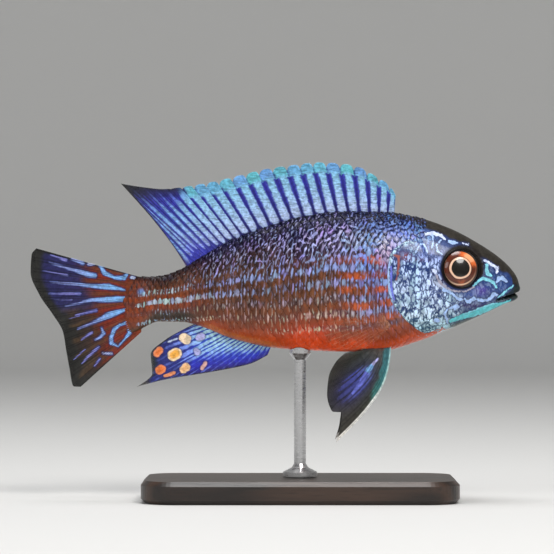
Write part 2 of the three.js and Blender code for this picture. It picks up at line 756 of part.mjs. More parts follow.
const tailRegion = (start) => {
  const end = STANDARD_LENGTH + 10;
  return slab([
    [start, 24],
    [end, 24],
    [end, -24],
    [start, -24],
  ]);
};
const trunk = flesh.subtract(headRegion(GAP / 2)).subtract(tailRegion(TAIL_CUT - GAP / 2));
addMesh("trunk", trunk, MATERIALS.flank);
addMesh("tail_stalk", flesh.intersect(tailRegion(TAIL_CUT + GAP / 2)), MATERIALS.flank);

addMesh("dorsal_fin_spiny", dorsalSpines().subtract(clearBody), MATERIALS.fin);
addMesh("dorsal_fin_soft", dorsalRays().subtract(clearBody), MATERIALS.fin);
addMesh("tail_fin", tailFin().subtract(clearBody), MATERIALS.fin);
addMesh("anal_fin", analFin().subtract(clearBody), MATERIALS.fin);
for (const [name, side] of sides) {
  addMesh(`pelvic_fin_${name}`, pelvicFin(side).subtract(clearBody), MATERIALS.clearFin);
  addMesh(`pectoral_fin_${name}`, pectoralFin(side).subtract(clearBody), MATERIALS.clearFin);
}

addMesh("stand_base", standBase(), MATERIALS.wood, stand);
addMesh("stand_rod", standRod(clearBody), MATERIALS.steel, stand);

export default group;
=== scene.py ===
"""Skin, scales, fins, eyes and stand of a life-size male peacock cichlid."""

import bpy
import numpy as np
from bpy.props import FloatProperty, FloatVectorProperty, IntProperty, PointerProperty
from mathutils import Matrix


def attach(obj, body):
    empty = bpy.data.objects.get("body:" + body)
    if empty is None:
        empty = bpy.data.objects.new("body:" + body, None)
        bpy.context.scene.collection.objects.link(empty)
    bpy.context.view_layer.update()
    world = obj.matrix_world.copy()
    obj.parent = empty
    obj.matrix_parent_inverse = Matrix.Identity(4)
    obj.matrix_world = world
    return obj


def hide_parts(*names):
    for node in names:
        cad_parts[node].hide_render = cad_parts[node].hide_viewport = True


bl_info = {
    "name": "Peacock Cichlid on a Stand",
    "version": (1, 0, 0),
    "blender": (4, 5, 0),
    "location": "View3D > Sidebar > Cichlid",
    "description": "Skin, scales, fins, eyes and stand of a life-size peacock cichlid",
    "category": "Add Mesh",
}

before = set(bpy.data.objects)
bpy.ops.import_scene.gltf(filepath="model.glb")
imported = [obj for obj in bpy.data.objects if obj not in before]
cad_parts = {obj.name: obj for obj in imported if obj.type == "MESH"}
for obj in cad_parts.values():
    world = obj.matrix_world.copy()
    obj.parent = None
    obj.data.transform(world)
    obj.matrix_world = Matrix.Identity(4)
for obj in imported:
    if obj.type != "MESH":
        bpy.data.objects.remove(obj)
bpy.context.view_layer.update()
MM = 0.001

# The fish's own measure: millimetres behind the snout, and above or below the mouth's level
SNOUT_X = 58.5
LEVEL = 56.0
STANDARD_LENGTH = 102.5
SWAY_START_X = -6.0
SWAY_LENGTH = 66.0
TAIL_SWAY = 4.0

# Behind the snout, height of the back, height of the belly, half width
BODY = np.array([
    [0, 0.8, 0.8, 0],
    [0.8, 3.8, -1.9, 2.1],
    [1.9, 5.4, -2.6, 2.9],
    [4, 7.6, -3.7, 3.9],
    [10.4, 12.2, -6.8, 5.9],
    [19, 16.7, -10.5, 7.8],
    [27.5, 19.5, -13.8, 8.9],
    [36, 20.8, -16.1, 9.3],
    [47, 20.9, -16.4, 9],
    [57.4, 19.7, -16, 8.3],
    [66, 17.3, -15.3, 7.2],
    [76.6, 13.3, -12.9, 5.6],
    [85.2, 8.6, -9.6, 4.3],
    [90, 5.7, -8.5, 3.6],
    [96, 3.7, -8.4, 2.7],
    [STANDARD_LENGTH, 3.5, -11.2, 1.15],
])
WIDEST = 0.48
BACK_RIDGE = 1.22
BELLY_ROUND = 0.92
CHIN_ROUND = 0.6
CHIN_LENGTH = 26.0
TAIL_TAPER = 3.4
# How much closer the skin's rings stand on the head, and at the tip of the snout
HEAD_RINGS = 1.9
SNOUT_RINGS = 12

# Head
EYE_BEHIND = 15.8
EYE_ABOVE = 5.7
EYE_RADIUS = 5.4
EYE_DEPTH = 3.1
EYE_SUNK = 1.75
EYE_FORWARD = 0.19
EYE_UPWARD = 0.16
ORBIT_RADIUS = 5.15
SOCKET_DEPTH = 2.2
PUPIL_BACK = 0.5
ORBIT_ROLL = (0.5, 0.48)
MOUTH_FRONT = (-0.4, -0.7)
MOUTH_CORNER = (6.0, -2.75)
MOUTH_OPEN = 0.45
MOUTH_DEPTH = 1.5
UPPER_LIP = {"radius": 0.95, "height": 0.5, "way": 1}
LOWER_LIP = {"radius": 0.85, "height": 0.62, "way": -1}
LIP_END = 0.4
NOSTRIL = (6.6, 5.4)
JAW_CREASE = [(6, -2.75), (10.5, -5), (14.5, -7), (16.6, -8.4)]
CHEEK_CREASE = [(25.6, 9), (25.4, 3), (24.2, -1.6), (21.6, -5), (17.4, -7.2)]
GILL_COVER = [
    (26.8, 12.9), (31.2, 12.6), (34.7, 9.6), (35.5, 3.8), (34.9, -2), (32.4, -5.8), (29.3, -9),
    (25.4, -11.4), (21.2, -9.8), (18, -7), (21.4, -3.6), (24, 1.2), (24.4, 7.6),
]
GILL_RAISED = 0.35
GILL_GROOVE = 0.3

# Pale marks of the face: tone, then points as behind, above, half width
FACE_MARKS = [
    ("white", [(9.3, 7.9, 0.3), (7.6, 6.8, 0.34), (6.1, 5.9, 0.36), (6, 5, 0.26), (6.5, 4.6, 0.16)]),
    ("cyan", [(8.9, 6.9, 0.32), (9, 5.4, 0.5), (8.6, 4.2, 0.55), (7.9, 3.9, 0.34)]),
    ("pale", [(6.3, 2.2, 0.3), (5.7, 3.1, 0.56), (4.7, 3.3, 0.5), (3.6, 2.3, 0.28)]),
    ("cyan", [(12.5, 1.2, 0.2), (11.2, 2.4, 0.32), (10, 3.1, 0.4), (8.4, 2.7, 0.36), (7.2, 1.9, 0.34),
              (6.4, 0.8, 0.22)]),
    ("cyan", [(1.7, 1.2, 0.1), (3.4, 0.1, 0.18), (5.2, -1.4, 0.22), (6, -2.2, 0.12)]),
    ("cyan", [(1.9, -1.9, 0.1), (3.4, -2.4, 0.16), (5.9, -3.3, 0.14)]),
    ("pale", [(20.4, 0.1, 0.42), (19, -0.4, 0.36), (17.6, -1.5, 0.28), (16.3, -2.4, 0.36),
              (15.4, -2.5, 0.2)]),
    ("pale", [(14.9, -2.2, 0.2), (14.2, -3, 0.42), (13.4, -3, 0.42), (12.4, -2.2, 0.5), (11.9, -2.4, 0.2)]),
    ("pale", [(11.3, -2.5, 0.28), (10, -2.7, 0.4), (8.7, -2.6, 0.4), (7.8, -1.9, 0.42), (7.1, -1, 0.5),
              (6.3, -1.2, 0.36)]),
    ("turquoise", [(2.6, -2.3, 0.2), (4.6, -3.3, 0.45), (7, -4.2, 0.7), (9.9, -5.3, 0.9), (12.8, -6.3, 0.85),
                   (15.4, -7.1, 0.7), (18.4, -8.1, 0.5)]),
    ("cyan", [(5.4, -3.2, 0.12), (7.4, -3.8, 0.3), (9.9, -4.7, 0.34), (12.8, -5.7, 0.3), (15, -6.4, 0.2)]),
    ("pale", [(20.2, -6, 0.22), (19.2, -4.8, 0.2), (18.2, -4.5, 0.35), (17, -4.4, 0.72), (17.3, -4.9, 0.5)]),
    ("pale", [(20.3, -6.2, 0.34), (19.7, -7.4, 0.24), (19.3, -8.8, 0.2)]),
    ("pale", [(22.5, -7.8, 0.56), (22, -8, 0.5)]),
    ("white", [(23.3, 5.2, 0.42), (22.7, 4.9, 0.5)]),
    ("pale", [(28, 10, 0.18), (27.1, 11.6, 0.2), (26.2, 12.5, 0.22), (25.3, 11.4, 0.2), (24.8, 10, 0.2)]),
    ("white", [(26.8, 15.2, 0.2), (25.2, 14.9, 0.34), (23, 15.1, 0.45), (21.2, 14.6, 0.42),
               (20.1, 13.6, 0.26)]),
    ("pale", [(23.4, 14.8, 0.24), (23.2, 12.8, 0.2), (23.6, 11.2, 0.16)]),
    ("pale", [(21.2, 13.2, 0.2), (22.4, 12, 0.2), (22.2, 10.4, 0.2), (21, 9.6, 0.16)]),
    ("pale", [(18.9, 13, 0.4), (18, 12.7, 0.5), (16.8, 12.6, 0.2)]),
    ("white", [(15.4, 12.5, 0.1), (13.8, 12.2, 0.2)]),
    ("smoke", [(22.6, 4.2, 0.14), (21.6, 1.6, 0.16), (19.6, 0.4, 0.16), (17.2, -0.3, 0.2), (14.6, -0.3, 0.18),
               (12.4, 0.8, 0.14)]),
    ("frost", [(22.9, 2.2, 0.3), (21.6, 1.2, 0.36), (20.4, 0.9, 0.16)]),
    ("pale", [(34.9, 7.6, 0.14), (35.3, 4, 0.26), (34.9, 0, 0.28), (34, -3.4, 0.16)]),
    ("violet", [(34.5, 6.4, 0.2), (34.5, 1, 0.3), (33.8, -2.6, 0.2)]),
    ("rust", [(33.6, 9.2, 0.24), (32.4, 8.8, 0.34), (32.6, 5.6, 0.22), (33.2, 2.8, 0.16)]),
    ("smoke", [(22.4, 3.6, 0.1), (20.8, 1.6, 0.12), (19.4, 1, 0.1)]),
]
# Where the charcoal of the forehead begins: behind, above
FOREHEAD_LINE = [
    (0, -6), (1.7, -6), (1.9, 1.4), (2.1, 3.3), (3.5, 4.5), (5.4, 5), (6.25, 6.4), (9.2, 8.2), (10.9, 9.4),
    (13.6, 12), (19.8, 14.1), (22.3, 15.4), (31, 18.8), (36, 20.6),
]

# Fins: thickness of membrane, rays and edge, and how deep the root lies in the body. Roots are given as
# place and distance behind, edges as place, behind and above, with the first ray at 0 and the last at 1
MEMBRANE = 0.26
RAY = 0.62
EDGE = 0.1
ROOT_SINK = 1.2
DORSAL_ROOT = [
    (0, 33.4), (0.09, 38.8), (0.24, 50.2), (0.38, 61.3), (0.5, 70.3), (0.62, 76.8), (0.8, 83.6), (1, 88.4),
]
DORSAL_SPINES = 16
DORSAL_RAYS = 11
DORSAL_EDGE = [
    (0, 33, 24.4), (0.03, 34.6, 26.8), (0.087, 39.1, 29.8), (0.124, 42.4, 31.6), (0.161, 46.1, 32.5),
    (0.235, 53.4, 33), (0.309, 60.3, 32.3), (0.383, 67.7, 31.2), (0.457, 74.8, 29.5), (0.531, 81.9, 27.8),
    (0.6, 88, 27), (0.68, 94.6, 27), (0.76, 101, 27.6), (0.815, 106.4, 28.5), (0.86, 103.2, 25),
    (0.92, 97.6, 18.6), (0.97, 92.4, 11.8), (1, 89.4, 7.2),
]
# The lobes behind the spines: height, how far behind the spine in rays, and their extra thickness
LAPPET = 1.1
LAPPET_LAG = 0.33
PAD_THICKNESS = 0.34
TAIL_ROOT = {"top": 3.4, "bottom": -11.2, "sunk": 1.6}
TAIL_RAYS = 16
TAIL_EDGE = [
    (0, 129.2, 11.2), (0.04, 130.4, 9.6), (0.14, 130.7, 4.8), (0.28, 128.4, -1.2), (0.42, 124.8, -6.4),
    (0.56, 122, -11.2), (0.7, 121.1, -16.2), (0.84, 120.2, -21), (0.95, 119, -25.8), (1, 117.2, -25.9),
]
# Pale marks of the tail fin: tone, then points as behind, above, half width
TAIL_STREAKS = [
    ("sky", [(125.4, 2.1, 0.2), (119.6, 1.7, 0.42), (113.2, 1, 0.55), (109.6, 0.9, 0.85), (105.2, 0, 0.2)]),
    ("sky", [(121.2, -4.3, 0.2), (114, -2.6, 0.5), (109.4, -2.5, 0.8), (104.8, -2.3, 0.62)]),
    ("sky", [(118, -10.4, 0.25), (112.8, -8.3, 0.45), (109.4, -6.6, 0.88), (104.7, -5.1, 0.35)]),
    ("sky", [(125.8, 7.4, 0.2), (119.2, 5.4, 0.45), (115.6, 4.3, 0.75), (113.3, 3.8, 0.6)]),
    ("violet", [(125.2, 9.4, 0.2), (121.2, 8, 0.45)]),
    ("violet", [(127.3, 5.3, 0.15), (120.8, 4, 0.32)]),
    ("violet", [(125.8, -0.9, 0.18), (117.4, -1, 0.4)]),
    ("violet", [(125.4, -2.5, 0.1), (119.6, -2.6, 0.18)]),
    ("sky", [(119.6, 8.4, 0.35), (116.6, 7.2, 0.5)]),
    ("frost", [(115, 7, 0.5), (113.6, 7, 0.4)]),
    ("sky", [(112.1, 6.8, 0.4), (110.8, 4.6, 0.62), (108.2, 3.3, 0.4), (105.6, 3.2, 0.6), (104.8, 4.2, 0.4)]),
    ("frost", [(103.4, 3.4, 0.5), (102.8, 3.2, 0.4)]),
    ("violet", [(118.6, -6.7, 0.2), (113, -5.4, 0.42)]),
    ("violet", [(120.4, -7.8, 0.12), (117.6, -6.8, 0.2)]),
    ("violet", [(117, -13.3, 0.25), (114.2, -11.4, 0.4)]),
    ("sky", [(111.6, -10.2, 0.3), (111, -11.6, 0.42), (111.9, -12.6, 0.42), (113.4, -13.4, 0.25)]),
    ("sky", [(106.6, -9.2, 0.3), (108.2, -10.6, 0.5), (109, -12.6, 0.55), (109, -14.2, 0.5),
             (107, -15.2, 0.2)]),
    ("sky", [(102.4, -7.1, 0.7), (104, -9.2, 0.85), (104, -11.4, 0.5), (105.6, -13.4, 0.25),
             (107, -15, 0.2)]),
    ("sky", [(103.4, -8, 0.6), (106.4, -9.3, 0.25)]),
    ("violet", [(119, -18.6, 0.15), (116, -15.8, 0.2)]),
    ("violet", [(116.8, -19.6, 0.2), (115, -17.6, 0.42), (112.4, -15.2, 0.32)]),
    ("frost", [(111.2, -16.9, 0.35), (108.8, -17, 0.3)]),
    ("violet", [(113.4, -20.2, 0.32), (112, -18.4, 0.25)]),
]
ANAL_ROOT = [65.8, 71, 77.6, 85.4]
ANAL_RAYS = 12
ANAL_EDGE = [
    (0, 67.2, -17.4), (0.1, 71.6, -19.6), (0.25, 79.6, -21.4), (0.42, 88.6, -22.9), (0.55, 95, -24),
    (0.63, 102.2, -25.9), (0.69, 98, -22.4), (0.8, 98.4, -17.2), (0.9, 94.4, -13.2), (1, 88, -9.6),
]
# Egg spots of the anal fin: tone, pale rim, then points as behind, above, radius
EGG_SPOTS = [
    ("cream", 0.1, [(89.5, -12.8, 1.3), (88.9, -13.2, 1.3)]),
    ("yolk", 0.8, [(92.4, -17.4, 1.45), (91.6, -16.9, 1.5)]),
    ("orange", 0.15, [(96.7, -16.9, 0.95), (96, -16.1, 0.95)]),
    ("orange", 0.1, [(96, -21.4, 1.15), (95.6, -21.1, 1.2)]),
    ("peach", 0.3, [(89.6, -21.2, 1.0), (89, -20.6, 1.15)]),
    ("lilac", 0, [(86, -16.5, 0.85), (86.2, -16.2, 0.6)]),
    ("rose", 0.2, [(84.6, -20.8, 0.5), (83.8, -19.6, 0.55)]),
    ("lilac", 0, [(85.4, -12.6, 0.9), (84.8, -12.4, 0.9)]),
    ("orange", 0.2, [(94.6, -22.9, 0.35), (92.2, -22.1, 0.42)]),
    ("frost", 0, [(93.6, -13.8, 0.12), (91.4, -13, 0.2)]),
]
PELVIC_ROOT = {"front": 34.2, "rear": 40.2, "aside": 2.6, "splay": 0.22}
PELVIC_RAYS = 6
PELVIC_EDGE = [
    (0, 49, -40.2), (0.14, 47.9, -36.4), (0.3, 47.4, -32.4), (0.42, 49.8, -32.2), (0.58, 51.2, -28),
    (0.74, 50.8, -23.4), (0.88, 48.8, -19.2), (1, 46.4, -16.8),
]
PELVIC_BOW = 4.1
PELVIC_STREAKS = [
    ("lilac", [(37.8, -18.2, 0.2), (39.4, -20, 0.45)]),
    ("sky", [(39.4, -20, 0.5), (40.8, -21.8, 0.6)]),
    ("violet", [(40.8, -21.8, 0.6), (42.2, -24.4, 0.6), (44.6, -27.4, 0.3)]),
]
# The pectoral edge is given as place, reach away from the root, and height against the root's middle
PECTORAL_ROOT = {"behind": 34.2, "top": -5.6, "bottom": -9.2, "splay": 0.52}
PECTORAL_RAYS = 12
PECTORAL_EDGE = [
    (0, 13, 0.8), (0.15, 18.4, -0.6), (0.35, 21.4, -3.4), (0.55, 19.6, -6.6), (0.75, 15.2, -8.4),
    (0.9, 10.2, -8.4), (1, 6.4, -7),
]

# Scales: where the first stand, rows above and below the middle one, points of a scale's grid
FIRST_SCALES = 22.0
ROWS_EACH_WAY = 17
SCALE_GRID = (8, 7)
# A scale's length in steps and half width in rows, then the shares of its length that lie ahead of its
# place and ahead of the rounded end
SCALE_LENGTH = 1.78
SCALE_HALF_WIDTH = 1.06
SCALE_ROOT = 0.62
SCALE_SHOULDER = 0.42
# How far the middle arches, and how deep the root lies
SCALE_CROWN = 0.07
SCALE_SUNK = 0.28

# Gloss of the wet skin
WET_SPECULAR = 0.22
WET_COAT = 0.3

# The studio: flat floor, bend and wall
FLOOR_REACH = 1250.0
FLOOR_BEND = 350.0
WALL_TOP = 1500.0

# Turns that set a pattern's grain upright, and leaning towards the head, and the heading of its lines
UPRIGHT = (0.0, 1.5708, 0.0)
LEANING = (0.0, 1.25, 0.0)
ALONG_Z = (0.1, 0.05, 1.0)

SIDES = (("left", 1), ("right", -1))

# Tones, as sRGB hexadecimal
TONES = {
    "white": "ccd8fa",
    "frost": "b9c6e4",
    "pale": "a9c8fa",
    "sky": "7fb4ee",
    "cyan": "8ad8ec",
    "turquoise": "62ccd6",
    "violet": "6b74d6",
    "cream": "f6dcbc",
    "yolk": "f6b24c",
    "orange": "ee7a3c",
    "peach": "f6bd84",
    "rose": "d8a0a0",
    "lilac": "b8b8ee",
    "smoke": "a6a2b4",
    "rust": "94504c",
}


def linear(code):
    """sRGB hexadecimal to linear: divide by 12.92 near black, otherwise a power of 2.4."""
    tone = np.array([int(code[i:i + 2], 16) for i in (0, 2, 4)]) / 255
    return np.where(tone <= 0.04045, tone / 12.92, ((tone + 0.055) / 1.055) ** 2.4)


def rgba(code):
    """Linear colour of a hexadecimal tone, with full alpha."""
    return (*linear(code), 1.0)


def curve_through(xs, ys):
    """A cubic Hermite curve whose slope at a point is the harmonic mean of its two chords, or 0."""
    xs, ys = np.asarray(xs, float), np.asarray(ys, float)
    steps = np.diff(xs)
    rises = np.diff(ys) / steps
    slopes = np.concatenate([rises[:1], np.zeros(len(xs) - 2), rises[-1:]])
    before, after = rises[:-1], rises[1:]
    near = 2 * steps[1:] + steps[:-1]
    far = steps[1:] + 2 * steps[:-1]
    same = before * after > 0
    safe_before, safe_after = np.where(same, before, 1), np.where(same, after, 1)
    slopes[1:-1] = np.where(same, (near + far) / (near / safe_before + far / safe_after), 0)

    def value(x):
        x = np.clip(x, xs[0], xs[-1])
        i = np.clip(np.searchsorted(xs, x, side="right") - 1, 0, len(steps) - 1)
        t = (x - xs[i]) / steps[i]
        return (ys[i] * (2 * t**3 - 3 * t**2 + 1) + ys[i + 1] * (3 * t**2 - 2 * t**3)
                + slopes[i] * steps[i] * (t**3 - 2 * t**2 + t) + slopes[i + 1] * steps[i] * (t**3 - t**2))

    return value


def step(low, high, x):
    """0 below low, 1 above high, and 3t^2 - 2t^3 between them. It falls where low is above high."""
    t = np.clip((np.asarray(x, float) - low) / (high - low), 0, 1)
    return t * t * (3 - 2 * t)


def mix(a, b, share):
    """a, plus the share of the way from a to b."""
    return a + (b - a) * share


def blend_tones(a, b, share):
    """The same mix for colours, with one share for all three channels."""
    return a + (b - a) * np.asarray(share)[..., None]


def layered(tone, *layers):
    """Lays each (hexadecimal tone, share) over the tones before it."""
    for code, share in layers:
        tone = blend_tones(tone, linear(code), share)
    return tone


def tone_ramp(x, stops):
    """Straight lines between (position, hexadecimal tone) stops, channel by channel."""
    places = [place for place, _ in stops]
    tones = np.array([linear(code) for _, code in stops])
    return np.stack([np.interp(x, places, tones[:, c]) for c in range(3)], axis=-1)


def bell(x, middle, width):
    """1 at the middle, and e to the power of -1 a width away from it."""
    return np.exp(-(((x - middle) / width) ** 2))


def ripple(x, z, period, seed):
    """A soft random field: seven sine waves of random heading and phase, summed and scaled to -1..1."""
    draw = np.random.default_rng(seed)
    total = 0
    for _ in range(7):
        heading, phase = draw.uniform(0, 2 * np.pi, 2)
        pace = 2 * np.pi / (period * draw.uniform(0.6, 1.5))
        total = total + np.sin((x * np.cos(heading) + z * np.sin(heading)) * pace + phase)
    return total / 4.2


# The body's skin
body_curves = [curve_through(np.sqrt(BODY[:, 0]), BODY[:, column]) for column in (1, 2, 3)]


def back_at(behind):
    """Height of the back: the curve of its root, and a small rise inside the tail fin."""
    return body_curves[0](np.sqrt(np.maximum(behind, 0))) + 0.12 * np.maximum(behind - STANDARD_LENGTH, 0)


def belly_at(behind):
    """Height of the belly: the curve of its root, and a small fall inside the tail fin."""
    return body_curves[1](np.sqrt(np.maximum(behind, 0))) - 0.3 * np.maximum(behind - STANDARD_LENGTH, 0)


def half_width_at(behind):
    """Half width, drawn in to a fourteenth over the taper inside the tail fin."""
    tapered = np.clip((behind - STANDARD_LENGTH) / TAIL_TAPER, 0, 1)
    return body_curves[2](np.sqrt(np.maximum(behind, 0))) * (1 - 0.93 * tapered**1.3)


def section_at(behind):
    """Heights of back, belly and widest place of a section, and its roundness below that place."""
    back, belly = back_at(behind), belly_at(behind)
    return back, belly, mix(belly, back, WIDEST), mix(CHIN_ROUND, BELLY_ROUND, step(0, CHIN_LENGTH, behind))


def skin_point(behind, turn, side):
    """A section is an egg: height goes with cos(turn), width with sin(turn) to a power."""
    back, belly, widest, round_below = section_at(behind)
    up = np.cos(turn)
    reach = np.where(up >= 0, back - widest, widest - belly)
    power = np.where(up >= 0, BACK_RIDGE, round_below)
    swing = np.sin(turn)
    out = half_width_at(behind) * np.sign(swing) * np.abs(swing) ** power
    return np.stack(np.broadcast_arrays(SNOUT_X - behind, side * out, LEVEL + widest + reach * up), -1)


def skin_normal(behind, turn, side):
    """The cross product of the small steps along the body and round it, turned to face outwards."""
    small = 0.03
    along = np.minimum(small, behind / 2)
    lengthways = skin_point(behind + along, turn, side) - skin_point(behind - along, turn, side)
    crossways = skin_point(behind, turn + small, side) - skin_point(behind, turn - small, side)
    normal = np.cross(lengthways, crossways)
    normal /= np.maximum(np.linalg.norm(normal, axis=-1, keepdims=True), 1e-12)
    middle = LEVEL + mix(belly_at(behind), back_at(behind), 0.5)
    point = skin_point(behind, turn, side)
    outward = np.stack([np.zeros_like(point[..., 0]), point[..., 1], point[..., 2] - middle], -1)
    return normal * np.where((normal * outward).sum(-1, keepdims=True) < 0, -1, 1)


def skin_reach(behind, above):
    """How far the skin stands from the middle plane at a height."""
    back, belly, widest, round_below = section_at(behind)
    high = above >= widest
    up = np.clip((above - widest) / np.where(high, back - widest, widest - belly), -1, 1)
    return half_width_at(behind) * np.sqrt(1 - up**2) ** np.where(high, BACK_RIDGE, round_below)


def swayed(points):
    """Behind the rod the fish bends to its left, with the square of the distance."""
    share = np.clip((SWAY_START_X - points[..., 0]) / SWAY_LENGTH, 0, 1.2)
    moved = points.copy()
    moved[..., 1] += TAIL_SWAY * share**2
    return moved


# Distances in the side view
def nearest_on(behind, above, start, end):
    """Where the nearest point of a straight stretch lies, as a share of it, and how far away it is."""
    along, rise = end[0] - start[0], end[1] - start[1]
    share = ((behind - start[0]) * along + (above - start[1]) * rise) / (along**2 + rise**2)
    share = np.clip(share, 0, 1)
    return share, np.hypot(behind - start[0] - share * along, above - start[1] - share * rise)


def distance_to_line(behind, above, line):
    """The least distance from each point to the straight stretches of a line."""
    return np.minimum.reduce([nearest_on(behind, above, *ends)[1] for ends in zip(line[:-1], line[1:])])


def rounded(points, per_stretch=6):
    """A closed Catmull-Rom spline through the points."""
    corners = np.asarray(points, float)
    t = np.linspace(0, 1, per_stretch, endpoint=False)[:, None]
    stretches = []
    for i in range(len(corners)):
        a, b, c, d = (corners[(i + k) % len(corners)] for k in (-1, 0, 1, 2))
        stretches.append(0.5 * (2 * b + (c - a) * t + (2 * a - 5 * b + 4 * c - d) * t**2
                                + (3 * b - a - 3 * c + d) * t**3))
    return np.concatenate(stretches)


def inside_by(behind, above, outline):
    """Signed distance to a closed outline, positive inside, by crossings of a level ray."""
    closed = np.vstack([outline, outline[:1]])
    inside = np.zeros(np.shape(behind), bool)
    for (b0, a0), (b1, a1) in zip(closed[:-1], closed[1:]):
        spans = (a0 > above) != (a1 > above)
        crossing = b0 + (above - a0) * (b1 - b0) / (a1 - a0 if a1 != a0 else 1e-9)
        inside ^= spans & (behind < crossing)
    distance = distance_to_line(behind, above, closed)
    return np.where(inside, distance, -distance)


COVER_OUTLINE = rounded(GILL_COVER)


def eye_axis(side):
    """The heading of an eye: aside, turned a little ahead and up."""
    axis = np.array([np.sin(EYE_FORWARD), side * np.cos(EYE_FORWARD), np.tan(EYE_UPWARD)])
    return axis / np.linalg.norm(axis)


def eye_frame(side):
    """The eye's axis, and the headings ahead and up across it."""
    axis = eye_axis(side)
    up = np.array([0.0, 0, 1]) - axis[2] * axis
    up /= np.linalg.norm(up)
    return axis, side * np.cross(axis, up), up


def eye_surface(side):
    """Where the eye's axis meets the skin."""
    out = float(skin_reach(np.array(EYE_BEHIND), np.array(EYE_ABOVE)))
    return np.array([SNOUT_X - EYE_BEHIND, side * out, LEVEL + EYE_ABOVE])


def mouth_line(behind):
    """The height of the straight line between the lips."""
    slope = (MOUTH_CORNER[1] - MOUTH_FRONT[1]) / (MOUTH_CORNER[0] - MOUTH_FRONT[0])
    return MOUTH_FRONT[1] + slope * (behind - MOUTH_FRONT[0])


def forehead_at(behind):
    """The height at which the dark forehead begins."""
    return np.interp(behind, *zip(*FOREHEAD_LINE))


def lip_roll(behind, above, lip):
    """A rounded ridge beside the mouth's line, lower and narrower towards the mouth's corner."""
    share = np.clip(behind / MOUTH_CORNER[0], 0, 1)
    radius = lip["radius"] * mix(1, LIP_END, share**2)
    centre = mix(MOUTH_FRONT[1], MOUTH_CORNER[1], share) + lip["way"] * (radius * 0.85 + MOUTH_OPEN / 2)
    ridge = np.exp(-(np.abs((above - centre) / (0.85 * radius)) ** 2.4))
    return lip["height"] * radius * ridge * mix(0.6, 1, step(0, 2, behind)) * step(7.0, 4.4, behind)


def softened(field, times):
    """Each value of a closed grid of rings takes on a quarter of its two neighbours, both ways."""
    for _ in range(times):
        field = (np.roll(field, 1, 1) + 2 * field + np.roll(field, -1, 1)) / 4
        wide = np.pad(field, ((1, 1), (0, 0)), mode="edge")
        field = (wide[:-2] + 2 * field + wide[2:]) / 4
    return field


def head_relief(points, behind, above, side):
    """Lips, mouth, orbits, nostrils, gill covers and creases, as a lift along the skin's normal."""
    lift = lip_roll(behind, above, UPPER_LIP) + lip_roll(behind, above, LOWER_LIP)
    lift -= MOUTH_DEPTH * step(6.8, 5.4, behind) * bell(above, mouth_line(behind), 0.3)
    for way in (-1, 1):
        near = (side == way) & (behind > 8) & (behind < 24)
        axis = eye_axis(way)
        away = points - eye_surface(way)
        across = np.linalg.norm(away - (away @ axis)[:, None] * axis, axis=-1)
        lift -= np.where(near, SOCKET_DEPTH * step(ORBIT_RADIUS + 0.1, ORBIT_RADIUS - 1.2, across), 0)
    nostril = np.hypot(behind - NOSTRIL[0], above - NOSTRIL[1])
    lift += 0.16 * bell(nostril, 0.75, 0.3) - 0.75 * bell(nostril, 0, 0.42)
    cover = inside_by(behind, above, COVER_OUTLINE)
    rearward = step(24.5, 28, behind)
    slope = mix(1.3, 0.16, rearward)
    lift += GILL_RAISED * np.clip(cover / slope, 0, 1) ** 0.8
    lift -= GILL_GROOVE * rearward * bell(cover, -0.3, 0.32)
    lift -= 0.2 * bell(distance_to_line(behind, above, JAW_CREASE), 0, 0.25)
    lift -= 0.14 * bell(distance_to_line(behind, above, CHEEK_CREASE), 0, 0.35)
    return lift


# The colours of the body
def height_share(behind, above):
    """-1 at the belly, 0 half way up, 1 at the back."""
    back, belly = back_at(behind), belly_at(behind)
    return np.clip((2 * above - back - belly) / np.maximum(back - belly, 0.1), -1, 1)


